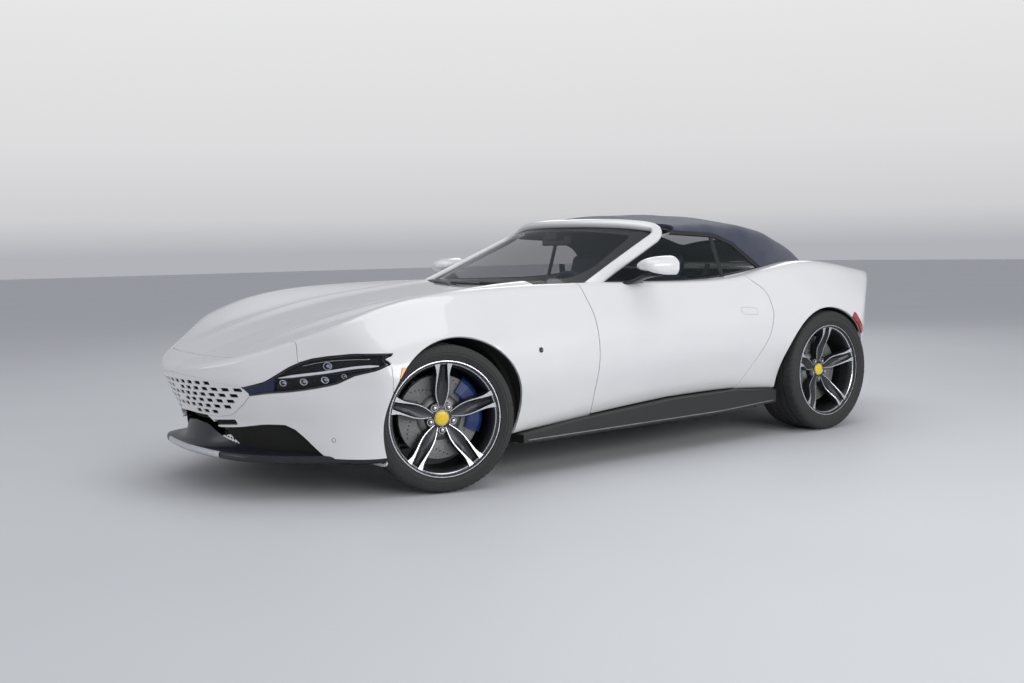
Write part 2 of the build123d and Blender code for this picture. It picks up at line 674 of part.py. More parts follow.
def rim(width, lip_x):
    """A rim about the X axis: its barrel, its hub and five double spokes, the face towards +X."""
    inner_x = -width / 2 + 14
    with BuildPart() as wheel:
        with BuildSketch(Plane.XY):
            with BuildLine():
                Polyline((inner_x, rim_radius - 19), (lip_x - 8, rim_radius - 19), (lip_x, rim_lip_radius - 6),
                         (lip_x, rim_lip_radius), (lip_x - 7, rim_lip_radius), (lip_x - 7, rim_radius),
                         (inner_x, rim_radius), close=True)
            make_face()
        revolve(axis=Axis.X)
        with BuildSketch(Plane.YZ.offset(22)):
            Circle(78)
        extrude(amount=34)
        for pair in range(spoke_pairs):
            for side in (-1, 1):
                turn = pair * 360 / spoke_pairs + side * 11
                spoke_plane = Plane.XY.rotated((turn, 0, 0)).offset(-7)
                with BuildSketch(spoke_plane):
                    with BuildLine():
                        Polyline((26, 55), (lip_x - 44, 246), (lip_x - 6, 246), (lip_x - 14, 200), (62, 78), (56, 55), close=True)
                    make_face()
                extrude(amount=14)
        with BuildSketch(Plane.YZ.offset(10)):
            Circle(32)
        extrude(amount=60, mode=Mode.SUBTRACT)
        with BuildSketch(Plane.YZ.offset(50)):
            Circle(33)
        extrude(amount=10)
    return wheel.part


def brake_disc():
    """A brake disc and its hat about the X axis."""
    with BuildPart() as disc:
        with BuildSketch(Plane.XY):
            with BuildLine():
                Polyline((-disc_thickness + 14, 118), (-disc_thickness + 14, disc_radius), (14, disc_radius), (14, 100),
                         (21.5, 78), (21.5, 32), (13, 32), (4, 86), (4, 118), close=True)
            make_face()
        revolve(axis=Axis.X)
    return disc.part


def caliper(at_angle):
    """A brake caliper that straddles the disc; the angle is measured from +Y towards +Z."""
    with BuildPart() as block:
        with BuildSketch(Plane.YZ.offset(-52)):
            with BuildLine():
                a, b = radians(at_angle - caliper_half_span), radians(at_angle + caliper_half_span)
                m = radians(at_angle)
                ThreePointArc((222 * cos(a), 222 * sin(a)), (222 * cos(m), 222 * sin(m)), (222 * cos(b), 222 * sin(b)))
                Line((222 * cos(b), 222 * sin(b)), (128 * cos(b), 128 * sin(b)))
                ThreePointArc((128 * cos(b), 128 * sin(b)), (128 * cos(m), 128 * sin(m)), (128 * cos(a), 128 * sin(a)))
                Line((128 * cos(a), 128 * sin(a)), (222 * cos(a), 222 * sin(a)))
            make_face()
        extrude(amount=86)
        with BuildSketch(Plane.YZ.offset(-disc_thickness + 14 - 6)):
            Circle(disc_radius + 6)
        extrude(amount=disc_thickness + 12, mode=Mode.SUBTRACT)
    return block.part


def knuckle(caliper_angle):
    """A front upright with its spindle and its caliper."""
    with BuildPart() as upright:
        with BuildSketch(Plane.YZ.offset(-76)):
            with BuildLine():
                FilletPolyline((-34, -150), (34, -150), (62, -40), (62, 60), (34, 160), (-34, 160), (-62, 60), (-62, -40),
                               radius=20, close=True)
            make_face()
        extrude(amount=30)
        with BuildSketch(Plane.YZ.offset(-46)):
            Circle(31.5)
        extrude(amount=90)
        m = radians(caliper_angle)
        with BuildSketch(Plane.YZ.offset(-76)):
            with Locations(Location((130 * cos(m), 130 * sin(m)), caliper_angle)):
                Rectangle(180, 60)
        extrude(amount=24)
        add(caliper(caliper_angle))
    return upright.part


front_tyre = tyre(front_tyre_radius, front_tyre_width, 110)
rear_tyre = tyre(rear_tyre_radius, rear_tyre_width, 130)
front_rim = rim(front_tyre_width, 110)
rear_rim = rim(rear_tyre_width, 130)
disc = brake_disc()
left_knuckle = knuckle(20)
right_knuckle = knuckle(160)

for side, name in ((1, "left"), (-1, "right")):
    kingpin = Location((side * (front_track / 2 - kingpin_inset), front_axle_y, front_tyre_radius),
                       (0, 0, steer_at_rest + (0 if side == 1 else 180)))
    front_hub = kingpin * Location((kingpin_inset, 0, 0))
    rear_hub = Location((side * rear_track / 2, rear_axle_y, rear_tyre_radius), (0, 0, 0 if side == 1 else 180))
    for hub, end, tyre_part, rim_part in ((front_hub, "front", front_tyre, front_rim), (rear_hub, "rear", rear_tyre, rear_rim)):
        with BuildPart() as placed_tyre:
            with Locations(hub):
                add(tyre_part)
        write(placed_tyre, f"tyre_{end}_{name}")
        with BuildPart() as placed_rim:
            with Locations(hub):
                add(rim_part)
        write(placed_rim, f"wheel_{end}_{name}")
        with BuildPart() as placed_disc:
            with Locations(hub):
                add(disc)
        write(placed_disc, f"brake_disc_{end}_{name}")
    with BuildPart() as placed_knuckle:
        with Locations(front_hub):
            add(left_knuckle if side == 1 else right_knuckle)
    write(placed_knuckle, f"knuckle_{name}")

# ---------------------------------------------------------------- suspension
kingpin_x = front_track / 2 - kingpin_inset
with BuildPart() as front_suspension:
    add(box(-420, 420, front_overhang - 60, front_overhang + 60, 172.5, 198))
    for side in (-1, 1):
        for z_from, z_to, root_s in ((175, 189.4, 110), (500.6, 514, 90)):
            arm = [(side * 430, front_overhang - root_s), (side * (kingpin_x + 12), front_overhang - 26),
                   (side * (kingpin_x + 12), front_overhang + 26), (side * 430, front_overhang + root_s)]
            add(plan_prism(arm, z_from, z_to))
        add(box(min(side * 400, side * 430), max(side * 400, side * 430), front_overhang - 110, front_overhang + 110, 172.5, 520))
write(front_suspension, "front_suspension")

rear_s = front_overhang + wheelbase
with BuildPart() as rear_suspension:
    add(box(-460, 460, rear_s - 60, rear_s + 60, 172.5, 250))
    for side in (-1, 1):
        for z in (206, 492):
            arm = [(side * 500.5, rear_s - 90), (side * 770, rear_s - 30), (side * 770, rear_s + 30), (side * 500.5, rear_s + 90)]
            add(plan_prism(arm, z, z + 16))
        with Locations(Location((side * rear_track / 2, rear_axle_y, rear_tyre_radius), (0, 0, 0 if side == 1 else 180))):
            add(knuckle(160 if side == 1 else 20))
write(rear_suspension, "rear_suspension")

# ---------------------------------------------------------------- cabin
seat_x = 370.0
with BuildPart() as front_seats:
    for side in (-1, 1):
        for points, half, round_by in (
            ([(2150, 262), (2180, 400), (2640, 372), (2690, 262)], 250, 40),
            ([(2560, 320), (2690, 320), (2925, 900), (2850, 925), (2790, 900)], 240, 30),
            ([(2800, 880), (2880, 1060), (2960, 1055), (2930, 880)], 120, 24),
        ):
            add(side_prism(points, side * seat_x - half, side * seat_x + half, round_by))
        add(box(side * seat_x - 200, side * seat_x + 200, 2200, 2660, 172.5, 270))
write(front_seats, "front_seats")

with BuildPart() as rear_seats:
    for side in (-1, 1):
        add(side_prism([(2960, 172.5), (2975, 460), (3150, 440), (3195.5, 172.5)], side * 350 - 220, side * 350 + 220, 20))
        add(side_prism([(3090, 420), (3195.5, 430), (3195.5, 860), (3160, 880), (3130, 850)], side * 350 - 220, side * 350 + 220, 15))
write(rear_seats, "rear_seats")

with BuildPart() as dashboard:
    add(side_prism([(1560, 870), (1850, 880), (2040, 868), (2090, 800), (2040, 690), (1900, 600), (1560, 600)],
                   -690, 690, 30))
    add(box(-690, 690, 1530.5, 1570, 620, 700))
    column = Location((seat_x, station(2040), 742), (-68, 0, 0))
    with Locations(column):
        Cylinder(24, 134, align=(Align.CENTER, Align.CENTER, Align.MIN))
    with Locations(column * Location((0, 0, 84))):
        Cylinder(12.05, 60, align=(Align.CENTER, Align.CENTER, Align.MIN), mode=Mode.SUBTRACT)
write(dashboard, "dashboard")

with BuildPart() as centre_console:
    add(side_prism([(1900, 330.5), (1900, 598), (2100, 590), (2250, 560), (2900, 540), (2940, 330.5)], -90, 90, 20))
write(centre_console, "centre_console")

with BuildPart() as steering_wheel:
    with Locations(Location((seat_x, station(2040), 742), (-68, 0, 0)) * Location((0, 0, 158))):
        Torus(178, 15)
        Cylinder(60, 34)
        with Locations((0, 0, -68)):
            Cylinder(12, 60, align=(Align.CENTER, Align.CENTER, Align.MIN))
        for turn in (0, 120, 240):
            with Locations(Location((0, 0, 0), (0, 0, turn)) * Location((0, -112, 0))):
                Box(34, 116, 12)
write(steering_wheel, "steering_wheel")

with BuildPart() as mirror_left:
    with BuildSketch(Plane.YZ.offset(872)):
        with BuildLine():
            FilletPolyline((station(2110), 965), (station(2140), 1058), (station(2280), 1060), (station(2310), 985),
                           (station(2280), 942), radius=26, close=True)
        make_face()
    extrude(amount=176)
    add(box(826, 930, 2170, 2240, 890, 958))
    add(body_clearance.part, mode=Mode.SUBTRACT)
write_both(mirror_left, "mirror")
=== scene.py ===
"""Looks of the roadster with its fabric roof up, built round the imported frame.

Metres.  +X is the car's left, -Y forwards, +Z up.  s is the distance behind the nose.
"""
import json
import math

import bmesh
import bpy
import numpy as np
from mathutils import Matrix, Vector


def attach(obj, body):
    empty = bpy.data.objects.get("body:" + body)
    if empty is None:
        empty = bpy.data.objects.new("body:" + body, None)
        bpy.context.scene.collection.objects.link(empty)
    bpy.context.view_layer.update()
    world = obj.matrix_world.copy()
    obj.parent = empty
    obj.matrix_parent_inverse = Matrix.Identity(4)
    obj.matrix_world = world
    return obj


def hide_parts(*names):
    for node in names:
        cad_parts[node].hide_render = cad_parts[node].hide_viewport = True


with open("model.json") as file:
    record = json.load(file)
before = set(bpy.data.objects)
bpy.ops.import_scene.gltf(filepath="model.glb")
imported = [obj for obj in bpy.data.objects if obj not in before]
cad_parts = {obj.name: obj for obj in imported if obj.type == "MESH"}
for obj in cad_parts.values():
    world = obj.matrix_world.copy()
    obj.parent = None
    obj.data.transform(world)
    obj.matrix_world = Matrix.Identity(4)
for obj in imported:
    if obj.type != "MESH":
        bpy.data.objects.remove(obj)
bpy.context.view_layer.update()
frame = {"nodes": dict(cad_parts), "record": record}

LENGTH = 4.656
FRONT_AXLE = 0.958
REAR_AXLE = 3.628
FRONT_TYRE_R, REAR_TYRE_R = 0.340, 0.354
FRONT_RIM_X, REAR_RIM_X = 0.826, 0.8395
STEER_REST = math.radians(15)
SHUT = 0.0046                 # width of a shut line


# ---------------------------------------------------------------- body surface
# Sections: s, bottom, side, crest, inner (each x, z), middle z, crest radius; millimetres.
SECTIONS = [
    (-90, 640, 142, 760, 470, 640, 556, 400, 560, 556, 24),
    (150, 705, 142, 818, 480, 690, 632, 430, 642, 634, 36),
    (400, 800, 142, 929, 520, 740, 752, 480, 728, 712, 56),
    (700, 860, 146, 986, 560, 775, 872, 540, 806, 782, 78),
    (958, 880, 180, 1004, 590, 788, 918, 560, 856, 826, 92),
    (1300, 870, 212, 996, 600, 792, 934, 570, 890, 872, 96),
    (1750, 852, 243, 972, 610, 822, 930, 560, 922, 918, 70),
    (2400, 838, 283, 966, 612, 852, 918, 560, 924, 928, 42),
    (2950, 848, 288, 980, 622, 862, 925, 560, 945, 950, 46),
    (3300, 872, 266, 1008, 640, 850, 975, 560, 984, 986, 90),
    (3628, 892, 256, 1025, 660, 826, 1008, 560, 1000, 998, 118),
    (4000, 872, 256, 1008, 664, 796, 972, 540, 968, 964, 118),
    (4350, 826, 270, 956, 655, 745, 918, 500, 928, 930, 90),
    (4740, 742, 300, 874, 640, 660, 884, 430, 908, 912, 60),
]
# Height, nose set-back and tail set-back of the plan outlines; millimetres.
ENDS = [(40, 120, 240), (340, 92, 80), (540, 4, 32), (590, 0, 26), (640, 6, 18), (880, 34, 0), (1150, 60, 0)]
NOSE_R, NOSE_ARC_X = 0.704, 0.478
TAIL_R, TAIL_ARC_X = 0.970, 0.800


def spline(x, y, at):
    """Natural cubic through the columns of y."""
    x, y = np.asarray(x, float), np.asarray(y, float)
    n = len(x)
    h = np.diff(x)
    a, rhs = np.eye(n), np.zeros((n,) + y.shape[1:])
    for i in range(1, n - 1):
        a[i, i - 1:i + 2] = h[i - 1], 2 * (h[i - 1] + h[i]), h[i]
        rhs[i] = 6 * ((y[i + 1] - y[i]) / h[i] - (y[i] - y[i - 1]) / h[i - 1])
    m = np.linalg.solve(a, rhs)
    at = np.clip(at, x[0], x[-1])
    i = np.clip(np.searchsorted(x, at) - 1, 0, n - 2)
    shape = (-1,) + (1,) * (y.ndim - 1)
    t, hi = (at - x[i]).reshape(shape), h[i].reshape(shape)
    u = hi - t
    cubic = (m[i] * u**3 + m[i + 1] * t**3) / (6 * hi)
    return cubic + (y[i] / hi - m[i] * hi / 6) * u + (y[i + 1] / hi - m[i + 1] * hi / 6) * t


def rounded(points, radii, step=0.006, closed=True):
    """An outline with arcs at its corners, as dense points."""
    p = [np.array(q, float) for q in points]
    n, out = len(p), []
    radii = list(radii) if np.ndim(radii) else [radii] * n
    for i in range(n):
        a, c, b = p[i - 1], p[i], p[(i + 1) % n]
        if (not closed and i in (0, n - 1)) or radii[i] <= 0:
            out.append(c)
            continue
        u, v = a - c, b - c
        lu, lv = np.linalg.norm(u), np.linalg.norm(v)
        u, v = u / lu, v / lv
        half = math.acos(max(-1, min(1, float(u @ v)))) / 2
        if half > 1.565:
            out.append(c)
            continue
        r = min(radii[i], 0.47 * min(lu, lv) * math.tan(half))
        centre = c + (u + v) / np.linalg.norm(u + v) * r / math.sin(half)
        a0, a1 = c + u * r / math.tan(half) - centre, c + v * r / math.tan(half) - centre
        turn = math.pi - 2 * half
        k = max(2, int(turn * r / step) + 1)
        for t in np.linspace(0, 1, k + 1):
            arc = a0
            if turn > 1e-3:
                arc = (a0 * math.sin((1 - t) * turn) + a1 * math.sin(t * turn)) / math.sin(turn)
            out.append(centre + arc)
    return np.array(out)


def run_length(points):
    """Distance from the first point along a line of points."""
    return np.r_[0, np.cumsum(np.linalg.norm(np.diff(points, axis=0), axis=1))]


def dense(points, step):
    """The same polyline with points no further apart than step."""
    out = []
    for a, b in zip(points[:-1], points[1:]):
        k = max(1, int(np.linalg.norm(b - a) / step))
        out += [a + (b - a) * i / k for i in range(k)]
    return np.array(out + [points[-1]])


def centre_z(s):
    """Height of the point that the sections are measured from."""
    return 0.50 + 0.12 * np.clip((s - 1.0) / 3.0, 0, 1)


SAMPLE_STEP = 0.03
SAMPLE_S = np.arange(-0.09, 4.741, SAMPLE_STEP)
SAMPLE_A = np.radians(np.linspace(-40, 90, 261))


def polar_table():
    """The section's radius about its centre, by station and angle."""
    t = np.array(SECTIONS, float) / 1000
    rows = spline(t[:, 0], t[:, 1:], SAMPLE_S)
    table = np.zeros((len(SAMPLE_S), len(SAMPLE_A)))
    for k, (s, r) in enumerate(zip(SAMPLE_S, rows)):
        half = [(0, r[1]), (r[0], r[1]), (r[2], r[3]), (r[4], r[5]), (r[6], r[7]), (0, r[8])]
        points = half + [(-x, z) for x, z in half[4:0:-1]]
        radii = [0, 0.014, 0.64, r[9], 0.26, 0.42, 0.26, r[9], 0.64, 0.014]
        line = rounded(points, radii)
        line = dense(np.vstack([line, line[:1]]), 0.006)
        line = line[line[:, 0] >= -1e-9]
        zc = centre_z(s)
        angle = np.arctan2(line[:, 1] - zc, line[:, 0])
        order = np.argsort(angle)
        radius = np.hypot(line[:, 0], line[:, 1] - zc)
        table[k] = np.interp(SAMPLE_A, angle[order], radius[order])
    return table


def smooth_table(table, along, across):
    """The table with each value drawn to its neighbours, a number of times along each axis."""
    for axis, times in ((0, along), (1, across)):
        for _ in range(times):
            t = np.moveaxis(table, axis, 0)
            t[1:-1] = t[1:-1] * 0.5 + (t[:-2] + t[2:]) * 0.25
    return table


POLAR = smooth_table(polar_table(), 3, 2)


def smax(a, b, k):
    """The greater of two, blended over k."""
    h = np.maximum(k - np.abs(a - b), 0) / k
    return np.maximum(a, b) + h * h * k / 4


def end_sag(x, radius, arc_x):
    """How far an end's plan outline falls back: an arc, then its tangent."""
    x = np.abs(x)
    height = math.sqrt(radius**2 - arc_x**2)
    arc = radius - np.sqrt(radius**2 - np.minimum(x, arc_x)**2)
    return arc + np.maximum(x - arc_x, 0) * arc_x / height


END_TABLE = np.array(ENDS, float) / 1000
END_Z = np.arange(0, 1.2, 0.01)
END_NOSE, END_TAIL = (smooth_table(np.interp(END_Z, END_TABLE[:, 0], END_TABLE[:, k]), 3, 0) for k in (1, 2))


def body_field(p):
    """Below zero inside the body.  p holds x, s, z."""
    x, s, z = p[..., 0], p[..., 1], p[..., 2]
    dz = z - centre_z(s)
    angle = np.clip(np.arctan2(dz, np.abs(x)), SAMPLE_A[0], SAMPLE_A[-1])
    i = np.clip((s - SAMPLE_S[0]) / SAMPLE_STEP, 0, len(SAMPLE_S) - 1.001)
    j = (angle - SAMPLE_A[0]) / (SAMPLE_A[1] - SAMPLE_A[0])
    j = np.clip(j, 0, len(SAMPLE_A) - 1.001)
    i0, j0 = i.astype(int), j.astype(int)
    fi, fj = i - i0, j - j0
    r = (POLAR[i0, j0] * (1 - fi) * (1 - fj) + POLAR[i0 + 1, j0] * fi * (1 - fj)
         + POLAR[i0, j0 + 1] * (1 - fi) * fj + POLAR[i0 + 1, j0 + 1] * fi * fj)
    loft = np.hypot(x, dz) - r
    flank = 1 - 0.75 * ease(np.abs(x), 0.50, 0.80) * (1 - ease(z, 0.44, 0.58))
    nose = (np.interp(z, END_Z, END_NOSE) * flank + end_sag(x, NOSE_R, NOSE_ARC_X) - s) * 0.80
    tail = (s - LENGTH + np.interp(z, END_Z, END_TAIL) + end_sag(x, TAIL_R, TAIL_ARC_X)) * 0.75
    return smax(smax(loft, nose, 0.045), tail, 0.03)


def solve(origin, direction, reach=1.7):
    """Where rays leave the body."""
    lo, hi = np.zeros(len(origin)), np.full(len(origin), reach)
    for _ in range(26):
        mid = (lo + hi) / 2
        inside = body_field(origin + direction * mid[:, None]) < 0
        lo, hi = np.where(inside, mid, lo), np.where(inside, hi, mid)
    return origin + direction * lo[:, None]


def ease(v, low, high):
    """Zero below low, one above high, with a smooth rise."""
    t = np.clip((v - low) / (high - low), 0, 1)
    return t * t * (3 - 2 * t)


def style(p):
    """The bonnet's two ridges and the hollows beside them, added to the plain sections."""
    x, s, z = np.abs(p[:, 0]), p[:, 1], p[:, 2]
    ridge_x = 0.30 + 0.17 * np.clip((s - 0.25) / 1.5, 0, 1)
    rise = ease(s, 0.16, 0.9) * (1 - ease(s, 1.75, 2.1))
    out = p.copy()
    top = ease(z, 0.57, 0.65)
    out[:, 2] += 0.017 * rise * top * np.exp(-((x - ridge_x) / 0.052)**2)
    out[:, 2] -= 0.010 * rise * top * np.exp(-((x - ridge_x - 0.13) / 0.07)**2)
    return out


def master_grid(step=0.014, turn_step=0.0125):
    """The whole painted surface as a grid of x, s, z points with its normals."""
    s0, s1 = 0.45, 4.2        # plain cross-sections between these; beyond them the rows fan out round the ends
    middle = np.array([[0, 2.0, centre_z(2.0)]] * len(SAMPLE_A))
    length = run_length(solve(middle, np.c_[np.cos(SAMPLE_A), 0 * SAMPLE_A, np.sin(SAMPLE_A)]))
    angles = np.interp(np.arange(0, length[-1], turn_step), length, SAMPLE_A)
    angles = np.r_[angles[:-1], SAMPLE_A[-1]]
    lift = np.arctan(np.arange(0.44, 0, -step) / 0.20)
    front = np.r_[np.linspace(math.pi / 2, lift[0], 34)[:-1], lift]
    back_lift = np.arctan(np.arange(0, 0.44, step) / 0.28)
    back = np.r_[back_lift, np.linspace(back_lift[-1], math.pi / 2, 40)[1:]]
    rows = [(s0, -1, f) for f in front] + [(s, 0, 0) for s in np.arange(s0, s1, step)]
    rows += [(s1, 1, f) for f in back]
    ca, sa = np.cos(angles), np.sin(angles)
    origin, direction = [], []
    for s, way, f in rows:
        origin.append(np.tile([0, s, centre_z(s)], (len(angles), 1)))
        direction.append(np.c_[ca * math.cos(f), np.full(len(ca), way * math.sin(f)), sa * math.cos(f)])
    p = solve(np.vstack(origin), np.vstack(direction))
    p = style(p).reshape(len(rows), len(angles), 3)
    mirror = p[:, -2::-1] * np.array([-1, 1, 1])
    return np.concatenate([p, mirror], axis=1)


def grid_faces(rows, cols, flip=False, closed=False):
    """Quads over a grid of points; closed joins the last column to the first."""
    i, j = np.meshgrid(np.arange(rows - 1), np.arange(cols if closed else cols - 1), indexing="ij")
    a, b = i * cols + j, i * cols + (j + 1) % cols
    c, d = b + cols, a + cols
    return np.stack([a, b, c, d] if not flip else [d, c, b, a], axis=-1).reshape(-1, 4)


def triangles(quads):
    return np.vstack([quads[:, [0, 1, 2]], quads[:, [0, 2, 3]]])


def face_cross(v, f):
    """Each triangle's normal, as long as twice its area."""
    return np.cross(v[f[:, 1]] - v[f[:, 0]], v[f[:, 2]] - v[f[:, 0]])


def grid_normals(p):
    """Smooth normals of a grid, pointing away from the axis of the body."""
    du, dv = np.gradient(p, axis=0), np.gradient(p, axis=1)
    n = np.cross(du, dv)
    size = np.linalg.norm(n, axis=2, keepdims=True)
    n = np.where(size > 1e-9, n / np.maximum(size, 1e-12), 0)
    for _ in range(2):
        m = n.copy()
        beside = n[:-2, 1:-1] + n[2:, 1:-1] + n[1:-1, :-2] + n[1:-1, 2:]
        m[1:-1, 1:-1] = n[1:-1, 1:-1] * 0.4 + beside * 0.15
        n = m / np.maximum(np.linalg.norm(m, axis=2, keepdims=True), 1e-9)
    return n


# ---------------------------------------------------------------- cutting panels from a surface
class Skin:
    """Points, unit normals and triangles of an open surface; x, s, z in metres."""

    def __init__(self, v, n, f):
        self.v, self.n, self.f = v, n, f

    def cut(self, field):
        """Keep where field is below zero; field holds one value for each point."""
        inside = field < 0
        count = inside[self.f].sum(axis=1)
        keep = self.f[count == 3]
        edges = {}
        extra_v, extra_n, new = [], [], []
        base = len(self.v)

        def crossing(i, j):
            key = (i, j) if i < j else (j, i)
            if key not in edges:
                a, b = key
                t = field[a] / (field[a] - field[b])
                edges[key] = base + len(extra_v)
                extra_v.append(self.v[a] + (self.v[b] - self.v[a]) * t)
                extra_n.append(self.n[a] + (self.n[b] - self.n[a]) * t)
            return edges[key]

        for tri in self.f[(count == 1) | (count == 2)]:
            t = [int(k) for k in tri]
            flags = [bool(inside[k]) for k in t]
            lone = flags.index(sum(flags) == 1)
            a, b, c = t[lone], t[(lone + 1) % 3], t[(lone + 2) % 3]
            ab, ac = crossing(a, b), crossing(a, c)
            if sum(flags) == 1:
                new.append((a, ab, ac))
            else:
                new += [(ab, b, c), (ab, c, ac)]
        v, n = self.v, self.n
        if extra_v:
            v, n = np.vstack([v, extra_v]), np.vstack([n, extra_n])
            n = n / np.maximum(np.linalg.norm(n, axis=1, keepdims=True), 1e-9)
        f = np.vstack([keep, np.array(new)]) if new else keep
        used, back = np.unique(f, return_inverse=True)
        return Skin(v[used], n[used], back.reshape(-1, 3))

    def where(self, *fields):
        """Keep what lies inside every field."""
        out = self
        for field in fields:
            out = out.cut(field(out.v))
        return out

    def moved(self, depth):
        """Sunk by depth along the normals."""
        return Skin(self.v - self.n * depth, self.n, self.f)

    def flipped(self):
        """The mirror image on the car's other side."""
        return Skin(self.v * [-1, 1, 1], self.n * [-1, 1, 1], self.f[:, ::-1])

    def rims(self):
        """The boundary's directed edges, and the outward direction in the surface at each boundary point."""
        e = np.vstack([self.f[:, [0, 1]], self.f[:, [1, 2]], self.f[:, [2, 0]]])
        key = np.sort(e, axis=1)
        key = key[:, 0] * (len(self.v) + 1) + key[:, 1]
        _, index, count = np.unique(key, return_index=True, return_counts=True)
        e = e[index[count == 1]]
        out = np.zeros_like(self.v)
        for k in (0, 1):
            d = self.v[e[:, 1]] - self.v[e[:, 0]]
            np.add.at(out, e[:, k], np.cross(d, self.n[e[:, k]]))
        size = np.linalg.norm(out, axis=1, keepdims=True)
        return e, out / np.maximum(size, 1e-12)

    def hemmed(self, depth=0.014, roll=0.0011):
        """The panel with a small rounded edge and a flange turned inwards."""
        e, out = self.rims()
        ring = np.unique(e)
        where = np.full(len(self.v), -1)
        where[ring] = np.arange(len(ring))
        n, v, o = self.n[ring], self.v[ring], out[ring]
        start, m = len(self.v), len(ring)
        layers = [v + (o - n) * roll * 0.30, v + o * roll - n * roll, v + o * roll - n * depth]
        normals = [n + o, o + n * 0.2, o]
        vs = np.vstack([self.v] + layers)
        ns = np.vstack([self.n] + normals)
        ns = ns / np.maximum(np.linalg.norm(ns, axis=1, keepdims=True), 1e-9)
        a, b = e[:, 0], e[:, 1]
        ia, ib = where[a], where[b]
        faces = [self.f]
        low_a, low_b = a, b
        for k in range(3):
            ha, hb = start + k * m + ia, start + k * m + ib
            faces += [np.c_[low_b, low_a, ha], np.c_[low_b, ha, hb]]
            low_a, low_b = ha, hb
        return Skin(vs, ns, np.vstack(faces))


def grid_skin(grid, normals, inset=0.0):
    """A skin over a grid, its triangles turned to face along the normals."""
    v, n, f = grid.reshape(-1, 3), normals.reshape(-1, 3), triangles(grid_faces(*grid.shape[:2]))
    if (face_cross(v, f) * n[f[:, 0]]).sum() < 0:
        f = f[:, ::-1]
    return Skin(v - n * inset, n, f)


def outline(points, u, v, grow=0.0):
    """A field for Skin.where: the signed distance of two coordinates to a closed outline."""
    q = np.asarray(points, float)

    def field(p):
        x = np.abs(p[:, 0]) if u == "w" else p[:, "xsz".index(u)]
        y = p[:, "xsz".index(v)]
        lo, hi = q.min(axis=0) - 0.08, q.max(axis=0) + 0.08
        near = (x > lo[0]) & (x < hi[0]) & (y > lo[1]) & (y < hi[1])
        result = np.full(len(p), 0.5)
        a, b = x[near], y[near]
        best, inside = np.full(len(a), 9.0), np.zeros(len(a), bool)
        for (ax, ay), (bx, by) in zip(q, np.roll(q, -1, axis=0)):
            dx, dy = bx - ax, by - ay
            t = np.clip(((a - ax) * dx + (b - ay) * dy) / max(dx * dx + dy * dy, 1e-12), 0, 1)
            best = np.minimum(best, np.hypot(a - ax - dx * t, b - ay - dy * t))
            over = (ay > b) != (by > b)
            inside ^= over & (a < (bx - ax) * (b - ay) / (by - ay if by != ay else 1e-12) + ax)
        result[near] = np.where(inside, -best, best)
        return result - grow

    return field


def flip(field):
    """Outside the field."""
    return lambda p: -field(p)


def above(axis, value):
    """Keep what lies past value along an axis (w is the distance from the middle)."""
    if axis == "w":
        return lambda p: value - np.abs(p[:, 0])
    return lambda p: value - p[:, "xsz".index(axis)]


def below(axis, value):
    """Keep what lies short of value along an axis."""
    if axis == "w":
        return lambda p: np.abs(p[:, 0]) - value
    return lambda p: p[:, "xsz".index(axis)] - value


def both(*fields):
    """Inside every one of the fields."""
    return lambda p: np.max([f(p) for f in fields], axis=0)


def circle(s, z, r):
    """Inside a circle seen from the side."""
    return lambda p: np.hypot(p[:, 1] - s, p[:, 2] - z) - r


# ---------------------------------------------------------------- materials
MATERIALS = {}


def nodes_of(name, **sockets):
    """A new material, its node tree and its shader, with the shader's own sockets set."""
    m = bpy.data.materials.new(name)
    m.use_nodes = True
    t = m.node_tree
    bsdf = t.nodes["Principled BSDF"]
    for key, value in sockets.items():
        bsdf.inputs[key.replace("_", " ")].default_value = value
    MATERIALS[name] = m
    return m, t, bsdf


def node(t, kind, links=(), **values):
    """A shader node with its values, fed by (socket name, other node, output name)."""
    n = t.nodes.new(kind)
    for key, value in values.items():
        if hasattr(n, key):
            setattr(n, key, value)
        else:
            n.inputs[key.replace("_", " ")].default_value = value
    for target, other, source in links:
        t.links.new(other.outputs[source], n.inputs[target])
    return n


def coords(t):
    """The object's own coordinates."""
    return node(t, "ShaderNodeMapping", [("Vector", node(t, "ShaderNodeTexCoord"), "Object")])


def ramp(t, factor, stops):
    """A colour ramp with (position, colour) stops."""
    r = node(t, "ShaderNodeValToRGB", [("Fac", factor, factor.outputs[0].name)])
    r.color_ramp.elements[0].position, r.color_ramp.elements[0].color = stops[0]
    r.color_ramp.elements[1].position, r.color_ramp.elements[1].color = stops[-1]
    for position, colour in stops[1:-1]:
        r.color_ramp.elements.new(position).color = colour
    return r


def grey(v, blue=0.0):
    return (v, v, v + blue, 1)


def bump(t, bsdf, height, strength, distance=0.001, output="Fac"):
    b = node(t, "ShaderNodeBump", [("Height", height, output)], Strength=strength, Distance=distance)
    t.links.new(b.outputs["Normal"], bsdf.inputs["Normal"])


def mottled(name, dark, light, rough, scale, bump_scale=None, strength=0.1, distance=0.0005, **sockets):
    """A finish whose colour and roughness wander a little, with an optional grain."""
    m, t, bsdf = nodes_of(name, **sockets)
    at = coords(t)
    noise = node(t, "ShaderNodeTexNoise", [("Vector", at, "Vector")], Scale=scale, Detail=4.0)
    colour = ramp(t, noise, [(0.3, dark), (0.7, light)])
    t.links.new(colour.outputs["Color"], bsdf.inputs["Base Color"])
    r = node(t, "ShaderNodeMapRange", [("Value", noise, "Fac")], From_Min=0.3, From_Max=0.7, To_Min=rough[0],
             To_Max=rough[1])
    t.links.new(r.outputs["Result"], bsdf.inputs["Roughness"])
    if bump_scale:
        grain = node(t, "ShaderNodeTexNoise", [("Vector", at, "Vector")], Scale=bump_scale, Detail=2.0)
        bump(t, bsdf, grain, strength, distance)
    return m


